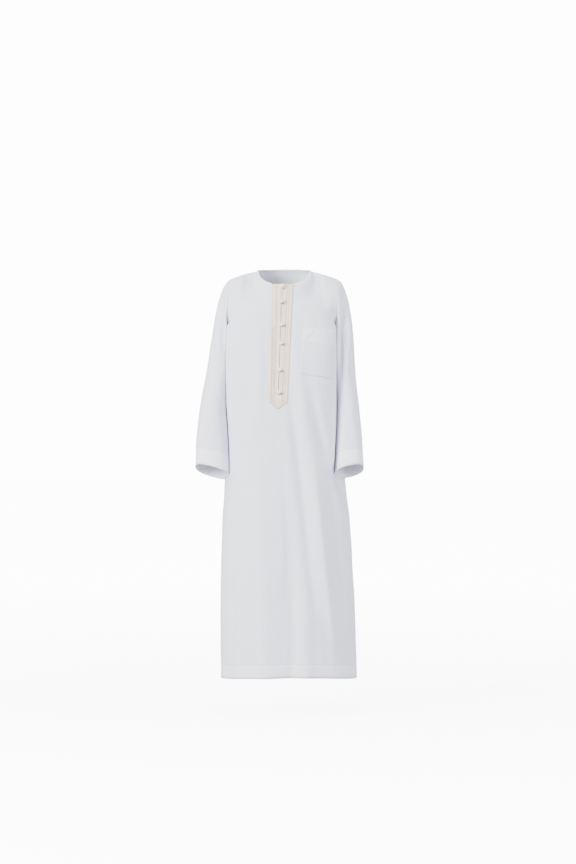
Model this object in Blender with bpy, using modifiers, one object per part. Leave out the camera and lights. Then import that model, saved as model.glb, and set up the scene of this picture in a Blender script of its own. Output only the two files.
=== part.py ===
"""Child's ankle-length thobe, hollow and in its worn pose.

Metres, +Z up, front towards -Y. The origin is the middle of the line across the shoulders, level
with the points where the neck opening meets the shoulder seams.
"""

import math
from collections import namedtuple

import bmesh
import bpy
from mathutils import Vector
from mathutils.bvhtree import BVHTree

# Cloth and seams
WALL = 0.0015
HEM_WALL = 0.0026
SEAM = 0.0003
HEM_STEP = 0.002
NECK_CORNER_GAP = 1.2
SHARPEST_TURN = 1.2
LEAST_SINE = 0.3

# Heights of the cut
UNDERARM_Z = -0.155
YOKE_Z = -0.092
HEM_Z = -1.006
HEM_SIDE_DROP = 0.011
HEM_DEPTH = 0.032
HEM_ROWS = 2
SIDE_Y = 0.002
PRESS_WIDTH = 0.034

# Shoulders, armholes and the section across the chest at armhole height
SHOULDER_Y = 0.004
SHOULDER_Z = -0.0245
SHOULDER_X = {"left": 0.1365, "right": -0.1370}
SHOULDER_CROWN = 0.002
YOKE_X = {"left": 0.1328, "right": -0.1395}
YOKE_EDGE_Y = {"front": -0.052, "back": 0.058}
YOKE_MIDDLE_Y = {"front": -0.089, "back": 0.094}
YOKE_CURVE = 2.4
ARMHOLE_SCOOP = Vector((0.0, 0.080, 0.010))

# Neck opening, measured on the edge of the panels
NECK_HALF_WIDTH = 0.0684
NECK_SIDE_Y = 0.003
NECK_SIDE_Z = -0.0031
NECK_FRONT = (0.0725, -0.0446)
NECK_BACK = (0.0500, 0.0008)
NECK_SQUARENESS = 0.85
NECK_PULL = 0.050
SHOULDER_PULL = 0.080
SHOULDER_LEAN = 0.10
NECK_LEAN_MIDDLE = Vector((0.62, 0.80))
NECK_LEAN_SIDE = Vector((0.85, 0.55))
BINDING_WIDTH = 0.0055
BINDING_WALL = 0.0024
BINDING_CROWN = 0.0007
BINDING_STEPS = 3
BINDING_GAP = 0.0004
BINDING_LEAST_STEP = 0.002

# Grid of the panels
SHOULDER_COLUMNS = 8
NECK_COLUMNS = {"front": 10, "back": 6}
UPPER_ROWS = 12
LOWER_ROWS = 14
RING_SAMPLES = 160
TANGENT_STEP = 0.012
NECK_TURN_START = 3
SCOOP_COLUMNS = 5
FOLD_EDGE_COLUMNS = 4
FOLD_RISE = 0.45
FOLD_ROUNDING = 0.7

# Centre slit and its placket
SLIT_TOP_X = -0.0045
SLIT_TOP_HALF = 0.0026
SLIT_LOW_HALF = 0.0008
SLIT_CLOSED_Z = -0.140
SLIT_END_Z = -0.312
PLACKET_HALF_TOP = 0.0262
PLACKET_HALF_LOW = 0.0226
PLACKET_CORNER_Z = -0.331
PLACKET_TIP_Z = -0.3485
PLACKET_TIP_HALF = 0.0016
PLACKET_LEAST = 0.0008
PLACKET_FLAT = 0.0013
PLACKET_RIB_FADE = 0.012
PLACKET_ROWS = 9
PLACKET_TIP_ROWS = 3
PLACKET_TOP_STEP = 0.0035
PLACKET_GAP = 0.0005
PLACKET_CORD = 0.0021
UNDERLAP_HALF = 0.0100
UNDERLAP_ROWS = 14
UNDERLAP_WALL = 0.0012
UNDERLAP_GAP = 0.0004
UNDERLAP_TOP_STEP = 0.004
UNDERLAP_END_STEP = 0.006

# Patch pocket: corners on the chest as (x, z)
POCKET_CORNERS = {
    "top_right": (0.0489, -0.1477),
    "top_left": (0.1245, -0.1535),
    "low_left": (0.1220, -0.2740),
    "low_right": (0.0390, -0.2630),
}
POCKET_ACROSS = 8
POCKET_DOWN = 9
POCKET_WALL = 0.0012
POCKET_HEM_WALL = 0.0019
POCKET_HEM_SHARE = 0.27
POCKET_GAP = 0.0010

# Knotted buttons, their loops and tails
BALL_RADIUS = 0.0046
BALL_SEGMENTS = 10
BALL_RINGS = 6
CORD_RADIUS = 0.0010
CORD_GAP = 0.00039
LOOP_HALF_WIDTH = 0.0022
LOOP_BEND_STEPS = 5

# Sleeves
SLEEVE_CAP_ROWS = 6
SLEEVE_ROWS = 11
CUFF_HEM = 0.037
SLEEVE_CLEAR = 0.0020
CLEAR_ROWS = 3

# Way in which a sleeve leaves the armhole at its top and at the underarm: outward and upward share
CAP_LEAVE_TOP = Vector((0.82, -0.57))
CAP_LEAVE_LOW = Vector((0.15, -1.00))
CAP_LEAVE_REACH = 0.6
CAP_ARRIVE_REACH = 0.9
CAP_EASE = 1.25
CAP_GAP_WALLS = 2.4
CAP_STEEP = 0.9

CLOTH = ((0.775, 0.767, 0.807, 1.0), 0.85)
BRIGHT_CLOTH = ((0.830, 0.825, 0.850, 1.0), 0.80)
PLACKET_CLOTH = ((0.701, 0.640, 0.575, 1.0), 0.90)
BUTTON_CORD = ((0.840, 0.815, 0.800, 1.0), 0.75)

# Sections of the body: height, edges at wearer's right (-X) and left (+X), front and back depth,
# middle of the front panel, squareness, how far a sleeve presses each side in, and where in depth
Body = namedtuple("Body", "z right left front back middle corner press_right press_left press_y")
BODY = (
    Body(-0.155, -0.1530, 0.1390, -0.098, 0.098, -0.0082, 3.1, 0.028, 0.028, 0.002),
    Body(-0.250, -0.1525, 0.1375, -0.105, 0.098, -0.0115, 3.0, 0.016, 0.016, 0.000),
    Body(-0.360, -0.1490, 0.1390, -0.111, 0.102, -0.0150, 2.8, 0.011, 0.012, -0.012),
    Body(-0.450, -0.1460, 0.1460, -0.114, 0.111, -0.0130, 2.6, 0.005, 0.017, -0.030),
    Body(-0.510, -0.1490, 0.1535, -0.117, 0.116, -0.0090, 2.5, 0.006, 0.022, -0.040),
    Body(-0.620, -0.1540, 0.1645, -0.124, 0.124, 0.0000, 2.3, 0.000, 0.000, -0.040),
    Body(-0.720, -0.1575, 0.1710, -0.130, 0.130, 0.0060, 2.2, 0.000, 0.000, -0.040),
    Body(-0.860, -0.1590, 0.1785, -0.139, 0.138, 0.0100, 2.2, 0.000, 0.000, -0.040),
    Body(-1.020, -0.1575, 0.1825, -0.148, 0.146, 0.0125, 2.2, 0.000, 0.000, -0.040),
)

# Folds of a panel: the path runs through three points (x, z), then width and height (minus: a trough)
Fold = namedtuple("Fold", "x_top z_top x_mid z_mid x_low z_low width height")
FRONT_FOLDS = (
    Fold(-0.057, -0.140, -0.060, -0.270, -0.070, -0.420, 0.017, 0.0050),
    Fold(-0.070, -0.330, -0.056, -0.700, -0.044, -1.060, 0.052, 0.0130),
    Fold(-0.072, -0.400, -0.058, -0.700, -0.042, -1.060, 0.020, 0.0060),
    Fold(-0.002, -0.420, 0.010, -0.700, 0.020, -1.060, 0.020, -0.0050),
    Fold(0.024, -0.170, 0.045, -0.330, 0.066, -0.480, 0.014, 0.0060),
    Fold(0.016, -0.320, 0.038, -0.480, 0.078, -0.860, 0.014, -0.0100),
    Fold(0.066, -0.440, 0.090, -0.675, 0.122, -0.960, 0.014, 0.0110),
    Fold(0.066, -0.290, 0.114, -0.520, 0.146, -0.900, 0.013, -0.0090),
    Fold(-0.118, -0.600, -0.112, -0.800, -0.108, -1.060, 0.020, 0.0050),
    Fold(0.048, -0.720, 0.052, -0.880, 0.056, -1.060, 0.020, 0.0070),
)
BACK_FOLDS = (
    Fold(0.060, -0.180, 0.068, -0.420, 0.080, -0.800, 0.016, -0.0070),
    Fold(-0.062, -0.220, -0.070, -0.480, -0.078, -0.860, 0.016, -0.0080),
    Fold(0.100, -0.400, 0.112, -0.700, 0.124, -1.060, 0.018, 0.0090),
    Fold(0.020, -0.260, 0.026, -0.600, 0.034, -1.060, 0.022, 0.0100),
    Fold(-0.020, -0.420, -0.022, -0.700, -0.024, -1.060, 0.017, -0.0080),
    Fold(-0.112, -0.480, -0.116, -0.740, -0.118, -1.060, 0.018, 0.0080),
    Fold(0.078, -0.640, 0.084, -0.840, 0.088, -1.060, 0.016, -0.0080),
)

# Sections of each sleeve: height of its middle, outer and inner edge as distances from the body's
# centre plane, front and back edge, and rise towards the outer side and towards the front
Sleeve = namedtuple("Sleeve", "z outer inner front back rise_out rise_front")
SLEEVES = {
    "right": (
        Sleeve(-0.190, 0.1840, 0.1225, -0.050, 0.056, 0.00, 0.00),
        Sleeve(-0.260, 0.1950, 0.1350, -0.051, 0.052, 0.00, 0.00),
        Sleeve(-0.340, 0.2095, 0.1415, -0.058, 0.040, 0.05, 0.02),
        Sleeve(-0.420, 0.2175, 0.1370, -0.071, 0.024, 0.15, 0.20),
        Sleeve(-0.5040, 0.2205, 0.1345, -0.083, 0.007, 0.27, 0.32),
    ),
    "left": (
        Sleeve(-0.190, 0.1755, 0.1135, -0.050, 0.056, 0.00, 0.00),
        Sleeve(-0.260, 0.1795, 0.1250, -0.051, 0.053, 0.00, 0.00),
        Sleeve(-0.340, 0.1875, 0.1300, -0.058, 0.042, 0.05, 0.02),
        Sleeve(-0.420, 0.1945, 0.1280, -0.070, 0.026, 0.13, 0.20),
        Sleeve(-0.5030, 0.1985, 0.1260, -0.081, 0.010, 0.21, 0.35),
    ),
}

# Folds that run down the front of each sleeve from the shoulder past the underarm
SLEEVE_TROUGHS = {
    "right": (
        Fold(-0.163, 0.010, -0.156, -0.100, -0.148, -0.220, 0.0080, -0.0090),
        Fold(-0.173, -0.020, -0.166, -0.110, -0.157, -0.230, 0.0080, 0.0020),
    ),
    "left": (
        Fold(0.156, 0.010, 0.150, -0.150, 0.135, -0.340, 0.0090, -0.0170),
        Fold(0.172, -0.040, 0.162, -0.165, 0.146, -0.340, 0.0080, 0.0045),
    ),
}
TROUGH_FROM_SEAM = 0.018
SLEEVE_SQUARENESS = 2.5

# Creases of a sleeve: angle round it in degrees (0 outer side, 90 front) at the top and at the low
# end, heights of both ends, width in degrees and height (minus: a trough)
Crease = namedtuple("Crease", "turn_top z_top turn_low z_low width height")
SLEEVE_CREASES = (
    Crease(70.0, -0.110, 50.0, -0.330, 20.0, -0.0040),
    Crease(110.0, -0.220, 80.0, -0.460, 24.0, 0.0035),
    Crease(300.0, -0.120, 320.0, -0.350, 22.0, -0.0045),
    Crease(255.0, -0.260, 270.0, -0.520, 24.0, 0.0035),
)

# Heights across one half of the placket: share of the way from the slit to the outer edge
Rib = namedtuple("Rib", "share height")
PLACKET_PROFILE = (
    Rib(0.00, 0.0021),
    Rib(0.12, 0.0021),
    Rib(0.18, 0.0013),
    Rib(0.42, 0.0013),
    Rib(0.48, 0.0019),
    Rib(0.54, 0.0013),
    Rib(0.82, 0.0013),
    Rib(0.88, 0.0021),
    Rib(1.00, 0.0021),
)

# Buttons: height, distance from the slit, lengths of the loop to the wearer's right and of the tail
Button = namedtuple("Button", "z shift loop tail")
BUTTONS = (
    Button(-0.0480, 0.0010, 0.0080, 0.0080),
    Button(-0.0855, 0.0000, 0.0090, 0.0110),
    Button(-0.1411, 0.0020, 0.0210, 0.0130),
    Button(-0.1870, 0.0025, 0.0090, 0.0140),
    Button(-0.2526, 0.0012, 0.0080, 0.0120),
    Button(-0.3082, 0.0012, 0.0170, 0.0070),
)


def clear_scene():
    for old in list(bpy.data.objects):
        bpy.data.objects.remove(old, do_unlink=True)


def make_material(name, finish):
    colour, roughness = finish
    material = bpy.data.materials.new(name)
    material.use_nodes = True
    shader = material.node_tree.nodes["Principled BSDF"]
    shader.inputs["Base Color"].default_value = colour
    shader.inputs["Roughness"].default_value = roughness
    shader.inputs["Metallic"].default_value = 0.0
    return material


def smooth_step(value):
    value = min(1.0, max(0.0, value))
    return value * value * (3.0 - 2.0 * value)


def hermite(start, end, leave, arrive, s):
    """Point on the cubic between two points with the given end tangents."""
    s2 = s * s
    s3 = s2 * s
    return (
        start * (2.0 * s3 - 3.0 * s2 + 1.0)
        + leave * (s3 - 2.0 * s2 + s)
        + end * (3.0 * s2 - 2.0 * s3)
        + arrive * (s3 - s2)
    )


def table_row(table, z):
    """Row of a table of sections at any height, smooth between the given rows."""
    z = min(table[0].z, max(table[-1].z, z))
    low = 0
    while low < len(table) - 2 and z < table[low + 1].z:
        low += 1
    before = table[max(0, low - 1)]
    first = table[low]
    second = table[low + 1]
    after = table[min(len(table) - 1, low + 2)]
    span = second.z - first.z
    s = (z - first.z) / span
    values = []
    for a, b, c, d in zip(before, first, second, after):
        slope_b = (c - a) / (second.z - before.z)
        slope_c = (d - b) / (after.z - first.z)
        values.append(hermite(b, c, slope_b * span, slope_c * span, s))
    return type(first)(*values)


def power(value, exponent):
    return math.copysign(abs(value) ** exponent, value)


def resample(points, count):
    """Points evenly spaced along a polyline, both ends included."""
    lengths = [0.0]
    for a, b in zip(points, points[1:]):
        lengths.append(lengths[-1] + (b - a).length)
    result = []
    index = 0
    for step in range(count + 1):
        target = lengths[-1] * step / count
        while index < len(points) - 2 and lengths[index + 1] < target:
            index += 1
        part = (target - lengths[index]) / (lengths[index + 1] - lengths[index])
        result.append(points[index].lerp(points[index + 1], part))
    return result


def stretch(points, start, end):
    """The part of a polyline between two lengths along it, its own points kept."""
    result = []
    travelled = 0.0
    for a, b in zip(points, points[1:]):
        length = (b - a).length
        if travelled <= start < travelled + length:
            result.append(a.lerp(b, (start - travelled) / length))
        if start < travelled + length < end:
            result.append(b.copy())
        if travelled < end <= travelled + length:
            result.append(a.lerp(b, (end - travelled) / length))
        travelled += length
    return result


def slit_half(z):
    part = smooth_step((z - SLIT_CLOSED_Z) / (NECK_FRONT[1] - SLIT_CLOSED_Z))
    return SLIT_LOW_HALF + (SLIT_TOP_HALF - SLIT_LOW_HALF) * part


def middle_x(z):
    """Line down the middle of the front, followed by the slit and the placket."""
    if z < UNDERARM_Z:
        return table_row(BODY, z).middle
    chest = BODY[0].middle
    return chest + (SLIT_TOP_X - chest) * (z - UNDERARM_Z) / (NECK_FRONT[1] - UNDERARM_Z)


def split_columns(points, z, side):
    """Columns of one row: even on the back, and on each half of the front beside its slit."""
    count = SHOULDER_COLUMNS + NECK_COLUMNS[side]
    if side == "back":
        return resample(points, 2 * count)
    middle = middle_x(z)
    half = slit_half(z)
    right = [p for p in points if p.x < middle - half]
    left = [p for p in points if p.x > middle + half]
    edge_y = right[-1].y
    right.append(Vector((middle - half, edge_y, right[-1].z)))
    left.insert(0, Vector((middle + half, edge_y, left[0].z)))
    return resample(right, count) + resample(left, count)


def body_ring(z, side):
    """Half of the body's section at one height, from the wearer's right side to the left one."""
    row = table_row(BODY, z)
    middle = 0.5 * (row.left + row.right)
    half = 0.5 * (row.left - row.right)
    depth = (row.front if side == "front" else row.back) - SIDE_Y
    hem_share = smooth_step((UNDERARM_Z - z) / (UNDERARM_Z - HEM_Z)) ** 2
    points = []
    for step in range(RING_SAMPLES + 1):
        angle = math.pi * step / RING_SAMPLES
        across = -power(math.cos(angle), 2.0 / row.corner)
        out = power(math.sin(angle), 2.0 / row.corner)
        y = SIDE_Y + depth * out
        press = max(0.0, row.press_right if across < 0.0 else row.press_left)
        press *= math.exp(-(((y - row.press_y) / PRESS_WIDTH) ** 2))
        x = middle + half * across - math.copysign(press, across)
        drop = HEM_SIDE_DROP * hem_share * math.cos(angle) ** 2
        points.append(Vector((x, y, z - drop)))
    return split_columns(points, z, side)


def yoke_ring(side):
    """Section across the chest or the shoulder blades at armhole height."""
    edge = YOKE_EDGE_Y[side]
    bulge = YOKE_MIDDLE_Y[side] - edge
    middle = 0.5 * (YOKE_X["left"] + YOKE_X["right"])
    half = 0.5 * (YOKE_X["left"] - YOKE_X["right"])
    points = []
    for step in range(RING_SAMPLES + 1):
        across = -1.0 + 2.0 * step / RING_SAMPLES
        y = edge + bulge * (1.0 - abs(across) ** YOKE_CURVE)
        points.append(Vector((middle + half * across, y, YOKE_Z)))
    return split_columns(points, YOKE_Z, side)


def neck_point(angle, side):
    """Point of the neck edge; the angle runs from the wearer's right to the left side."""
    depth, end_z = NECK_FRONT if side == "front" else NECK_BACK
    sign = -1.0 if side == "front" else 1.0
    out = math.sin(angle)
    share = out ** NECK_SQUARENESS if out > 0.0 else 0.0
    return Vector((
        -NECK_HALF_WIDTH * math.cos(angle),
        NECK_SIDE_Y + sign * depth * out,
        NECK_SIDE_Z + (end_z - NECK_SIDE_Z) * share,
    ))


def neck_direction(point):
    """Way in which the cloth points at the neck edge: inward and up."""
    inward = Vector((-point.x, -(point.y - NECK_SIDE_Y), 0.0)).normalized()
    lean = NECK_LEAN_MIDDLE.lerp(NECK_LEAN_SIDE, abs(inward.x))
    return (inward * lean.x + Vector((0.0, 0.0, lean.y))).normalized()


def neck_line(arc, side):
    """Neck edge of one panel, evenly spaced, with the slit left out of the front."""
    count = NECK_COLUMNS[side]
    if side == "back":
        return resample(arc, 2 * count)
    middle = middle_x(NECK_FRONT[1])
    right = [p for p in arc if p.x < middle - SLIT_TOP_HALF]
    left = [p for p in arc if p.x > middle + SLIT_TOP_HALF]
    right.append(Vector((middle - SLIT_TOP_HALF, right[-1].y, right[-1].z)))
    left.insert(0, Vector((middle + SLIT_TOP_HALF, left[0].y, left[0].z)))
    return resample(right, count) + resample(left, count)


def top_edge(side):
    """Upper edge of a panel: shoulder seam, half of the neck, and shoulder seam."""
    shoulders = {}
    for arm in ("right", "left"):
        tip = Vector((SHOULDER_X[arm], SHOULDER_Y, SHOULDER_Z))
        neck = neck_point(0.0 if arm == "right" else math.pi, side)
        line = []
        for step in range(SHOULDER_COLUMNS + 1):
            s = step / SHOULDER_COLUMNS
            point = tip.lerp(neck, s)
            point.z += SHOULDER_CROWN * 4.0 * s * (1.0 - s)
            line.append(point)
        shoulders[arm] = line
    arc = [neck_point(math.pi * step / RING_SAMPLES, side) for step in range(RING_SAMPLES + 1)]
    return shoulders["right"][:-1] + neck_line(arc, side) + list(reversed(shoulders["left"]))[1:]


def neck_share(from_end):
    """How far a column near the shoulder already turns towards the neck."""
    return smooth_step((from_end - NECK_TURN_START) / (SHOULDER_COLUMNS - NECK_TURN_START))


def top_pulls(edge, side):
    """Tangents with which the columns reach the upper edge."""
    over = Vector((0.0, 1.0 if side == "front" else -1.0, SHOULDER_LEAN)).normalized()
    pulls = []
    last = len(edge) - 1
    for index, point in enumerate(edge):
        from_end = min(index, last - index)
        share = neck_share(from_end)
        way = over.lerp(neck_direction(point), share).normalized()
        pulls.append(way * (SHOULDER_PULL + (NECK_PULL - SHOULDER_PULL) * share))
    return pulls


def fold_height(folds, x, z):
    """Sum of the folds' heights at one place of a panel."""
    total = 0.0
    for fold in folds:
        if not fold.z_low < z < fold.z_top:
            continue
        if z > fold.z_mid:
            s = (fold.z_top - z) / (fold.z_top - fold.z_mid)
            centre = fold.x_top + (fold.x_mid - fold.x_top) * s
            share = 0.5 * s
        else:
            s = (fold.z_mid - z) / (fold.z_mid - fold.z_low)
            centre = fold.x_mid + (fold.x_low - fold.x_mid) * s
            share = 0.5 + 0.5 * s
        fade = math.sin(math.pi * min(1.0, max(0.0, share))) ** FOLD_ROUNDING
        if fold.z_low < HEM_Z:
            fade = smooth_step(share / FOLD_RISE)
        total += fold.height * fade * math.exp(-(((x - centre) / fold.width) ** 2))
    return total


def press_folds(rows, folds, side):
    """Move the points of a panel out or in along its folds, not at the side seams."""
    sign = -1.0 if side == "front" else 1.0
    pressed = []
    for row in rows:
        moved = []
        last = len(row) - 1
        for index, point in enumerate(row):
            ahead = row[min(last, index + 1)] - row[max(0, index - 1)]
            out = Vector((-sign * ahead.y, sign * ahead.x, 0.0)).normalized()
            edge_share = smooth_step(min(index, last - index) / FOLD_EDGE_COLUMNS)
            moved.append(point + out * (fold_height(folds, point.x, point.z) * edge_share))
        pressed.append(moved)
    return pressed


def lower_heights():
    """Heights of the rows from the hem up to the underarm."""
    heights = [HEM_Z, HEM_Z + HEM_DEPTH, HEM_Z + HEM_DEPTH + HEM_STEP]
    start = heights[-1]
    for step in range(1, LOWER_ROWS + 1):
        heights.append(start + (UNDERARM_Z - start) * step / LOWER_ROWS)
    return heights


def side_profile_x(chest, at_end, y):
    """Distance to the side of the chest section at one depth, near one of its ends."""
    line = list(reversed(chest)) if at_end else chest
    for a, b in zip(line, line[1:]):
        if min(a.y, b.y) <= y <= max(a.y, b.y):
            return a.x + (b.x - a.x) * (y - a.y) / (b.y - a.y)
    return line[0].x


def panel_rows(side, folds):
    """All rows of a panel from the hem to the neck, each from the wearer's right to the left."""
    rows = [body_ring(z, side) for z in lower_heights()]
    below = body_ring(UNDERARM_Z - TANGENT_STEP, side)
    chest = rows[-1]
    yoke = yoke_ring(side)
    top = top_edge(side)
    pulls = top_pulls(top, side)
    scoop = ARMHOLE_SCOOP.copy()
    if side == "front":
        scoop.y = -scoop.y
    half_rows = UPPER_ROWS // 2
    upper = [[] for row in range(UPPER_ROWS)]
    last = len(chest) - 1
    for index, low in enumerate(chest):
        rise = yoke[index].z - low.z
        leave = (low - below[index]) * (rise / TANGENT_STEP)
        near_side = max(0.0, 1.0 - min(index, last - index) / SCOOP_COLUMNS)
        leave = leave.lerp(scoop, near_side ** 2)
        through = (top[index] - low) * 0.5
        for step in range(1, half_rows + 1):
            s = step / half_rows
            point = hermite(low, yoke[index], leave, through, s)
            beside = side_profile_x(chest, index > last - index, point.y)
            beside += (yoke[index].x - beside) * s * s
            point.x += (beside - point.x) * near_side
            upper[step - 1].append(point)
            upper[half_rows + step - 1].append(hermite(yoke[index], top[index], through, pulls[index], s))
    return press_folds(rows + upper, folds, side)


def bend_gap(edge, inner, partner, wall):
    """Gap to leave at a seam so that the inner corners of two bent walls stay apart."""
    turn = (edge - inner).angle(partner - edge, 0.0)
    return 0.5 * SEAM + wall * math.tan(0.5 * min(turn, SHARPEST_TURN))


def draw_back(point, towards, distance):
    return point + (towards - point).normalized() * distance


def seam_sine(line, index, inner):
    """Sine of the angle at which a column meets the seam."""
    along = (line[min(len(line) - 1, index + 1)] - line[max(0, index - 1)]).normalized()
    return max(LEAST_SINE, along.cross((inner - line[index]).normalized()).length)


def open_shoulder_seams(front, back):
    """Part the two panels along the shoulders by the seam gap."""
    last = len(front[-1]) - 1
    seam = list(front[-1])
    for index, edge in enumerate(seam):
        if min(index, last - index) > SHOULDER_COLUMNS:
            continue
        partner = index if index <= SHOULDER_COLUMNS else index - len(front[-1]) + len(back[-1])
        gap = bend_gap(edge, front[-2][index], back[-2][partner], WALL)
        gap *= 1.0 + NECK_CORNER_GAP * neck_share(min(index, last - index))
        front_gap = gap / seam_sine(seam, index, front[-2][index])
        back_gap = gap / seam_sine(seam, index, back[-2][partner])
        front[-1][index] = draw_back(edge, front[-2][index], front_gap)
        back[-1][partner] = draw_back(edge, back[-2][partner], back_gap)


def open_side_seams(front, back):
    """Part the two panels down both sides by the seam gap."""
    for row in range(len(front) - UPPER_ROWS):
        wall = HEM_WALL if row <= HEM_ROWS else WALL
        for edge, inner in ((0, 1), (-1, -2)):
            corner = front[row][edge]
            gap = bend_gap(corner, front[row][inner], back[row][inner], wall)
            front[row][edge] = draw_back(corner, front[row][inner], gap)
            back[row][edge] = draw_back(corner, back[row][inner], gap)


def crease_height(turn, z):
    total = 0.0
    for crease in SLEEVE_CREASES:
        if not crease.z_low < z < crease.z_top:
            continue
        s = (crease.z_top - z) / (crease.z_top - crease.z_low)
        centre = crease.turn_top + (crease.turn_low - crease.turn_top) * s
        away = (turn - centre + 180.0) % 360.0 - 180.0
        total += crease.height * math.sin(math.pi * s) * math.exp(-((away / crease.width) ** 2))
    return total


def sleeve_ring(arm, z, count):
    """One ring of a sleeve: outer side, front, inner side, back."""
    sign = 1.0 if arm == "left" else -1.0
    row = table_row(SLEEVES[arm], z)
    middle = 0.5 * (row.outer + row.inner)
    half = 0.5 * (row.outer - row.inner)
    centre_y = 0.5 * (row.front + row.back)
    depth = 0.5 * (row.back - row.front)
    ring = []
    for step in range(count):
        turn = 2.0 * math.pi * step / count
        swell = crease_height(math.degrees(turn), z)
        across = power(math.cos(turn), 2.0 / SLEEVE_SQUARENESS) * (half + swell)
        along = -power(math.sin(turn), 2.0 / SLEEVE_SQUARENESS) * (depth + swell)
        height = z + row.rise_out * across - row.rise_front * along
        ring.append(Vector((sign * (middle + across), centre_y + along, height)))
    return ring


def clear_of_body(rows, arm, skins):
    """Move a sleeve's points sideways until they are just clear of the body's side."""
    sign = 1.0 if arm == "left" else -1.0
    inward = Vector((-sign, 0.0, 0.0))
    for number, row in enumerate(rows[1:], start=1):
        clear = SLEEVE_CLEAR * min(1.0, number / CLEAR_ROWS)
        for point in row:
            for skin in skins:
                start = Vector((sign, point.y, point.z))
                hit, normal, index, distance = skin.ray_cast(start, inward)
                if hit and hit.x * sign > 0.0:
                    point.x = sign * max(point.x * sign, hit.x * sign + clear)


def armhole_loop(front, back, edge):
    """Armhole from the shoulder down the front to the underarm and up the back."""
    down = [row[edge] for row in reversed(front[-UPPER_ROWS - 1:])]
    up = [row[edge] for row in back[-UPPER_ROWS:-1]]
    return down + up


def sleeve_rows(arm, loop, panel_inner):
    """Rows of a sleeve from the armhole to the cuff."""
    sign = 1.0 if arm == "left" else -1.0
    table = SLEEVES[arm]
    count = len(loop)
    first = sleeve_ring(arm, table[0].z, count)
    second = sleeve_ring(arm, table[0].z - TANGENT_STEP, count)
    rows = []
    for step in range(SLEEVE_CAP_ROWS + 1):
        s = (step / SLEEVE_CAP_ROWS) ** CAP_EASE
        ring = []
        for index, start in enumerate(loop):
            end = first[index]
            upper = 0.5 + 0.5 * math.cos(2.0 * math.pi * index / count)
            lean = CAP_LEAVE_LOW.lerp(CAP_LEAVE_TOP, upper)
            leave = Vector((sign * lean.x, 0.0, lean.y)).normalized()
            reach = (end - start).length
            arrive = (second[index] - end).normalized() * (CAP_ARRIVE_REACH * reach)
            ring.append(hermite(start, end, leave * (CAP_LEAVE_REACH * reach), arrive, s))
        rows.append(ring)
    for index, point in enumerate(loop):
        before = point - panel_inner[index]
        after = rows[1][index] - point
        gap = SEAM
        if after.z > -CAP_STEEP * after.length:
            gap += CAP_GAP_WALLS * WALL * math.tan(0.5 * before.angle(after, 0.0))
        rows[0][index] = point + Vector((sign * gap, 0.0, 0.0))
    low = table[-1].z
    heights = [low + CUFF_HEM + HEM_STEP, low + CUFF_HEM, low]
    body_rows = SLEEVE_ROWS - len(heights) + 1
    for step in range(1, body_rows):
        s = step / body_rows
        rows.append(sleeve_ring(arm, table[0].z + (heights[0] - table[0].z) * s, count))
    for z in heights:
        rows.append(sleeve_ring(arm, z, count))
    return rows


def press_troughs(rows, arm):
    """Lay the deep folds into the front of a sleeve, away from the armhole seam."""
    sign = 1.0 if arm == "left" else -1.0
    pressed = [rows[0]]
    for number in range(1, len(rows)):
        row = rows[number]
        above = rows[number - 1]
        moved = []
        for index, point in enumerate(row):
            along = row[(index + 1) % len(row)] - row[index - 1]
            normal = (point - above[index]).cross(along).normalized() * -sign
            front_share = smooth_step(-normal.y)
            seam_share = smooth_step((point - rows[0][index]).length / TROUGH_FROM_SEAM)
            height = fold_height(SLEEVE_TROUGHS[arm], point.x, point.z)
            moved.append(point + normal * (height * front_share * seam_share))
        pressed.append(moved)
    return pressed


def surface(rows, round_ring=False, skip=None, flip=False):
    """Open surface through rows of points, without the faces for which skip is true."""
    work = bmesh.new()
    grid = [[work.verts.new(point) for point in row] for row in rows]
    columns = len(rows[0])
    steps = columns if round_ring else columns - 1
    for low, high in zip(range(len(rows) - 1), range(1, len(rows))):
        for column in range(steps):
            if skip and skip(low, column):
                continue
            after = (column + 1) % columns
            corners = [grid[low][column], grid[low][after], grid[high][after], grid[high][column]]
            if flip:
                corners.reverse()
            work.faces.new(corners)
    bmesh.ops.triangulate(work, faces=work.faces[:])
    return work


def add_object(name, work, material, collection):
    mesh = bpy.data.meshes.new(name)
    work.to_mesh(mesh)
    work.free()
    mesh.materials.append(material)
    mesh.shade_smooth()
    piece = bpy.data.objects.new(name, mesh)
    collection.objects.link(piece)
    return piece


def thicken(piece, wall, outward=False, walls=None):
    """Give an open surface its wall; walls, if given, holds each point's own thickness."""
    solid = piece.modifiers.new("Cloth wall", "SOLIDIFY")
    solid.thickness = wall
    solid.offset = 1.0 if outward else -1.0
    if walls:
        group = piece.vertex_groups.new(name="Wall")
        for index, value in enumerate(walls):
            group.add([index], value / wall, "REPLACE")
        solid.vertex_group = group.name


def row_walls(rows, thick_rows, thick, thin):
    return [thick if row in thick_rows else thin for row, points in enumerate(rows) for point in points]


def skin_of(rows, flip=False):
    """Search tree of a panel's surface, on which other pieces are laid."""
    work = surface(rows, flip=flip)
    tree = BVHTree.FromBMesh(work)
    work.free()
    return tree


def on_front(skin, x, z, lift):
    """Place on the front panel, seen straight from the front, lifted off it."""
    hit, normal, index, distance = skin.ray_cast(Vector((x, -1.0, z)), Vector((0.0, 1.0, 0.0)))
    return hit + normal * lift


def placket_half(z):
    if z < PLACKET_CORNER_Z:
        part = (z - PLACKET_TIP_Z) / (PLACKET_CORNER_Z - PLACKET_TIP_Z)
        return PLACKET_TIP_HALF + (PLACKET_HALF_LOW - PLACKET_TIP_HALF) * part
    part = (z - PLACKET_CORNER_Z) / (NECK_FRONT[1] - PLACKET_CORNER_Z)
    return PLACKET_HALF_LOW + (PLACKET_HALF_TOP - PLACKET_HALF_LOW) * part


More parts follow.
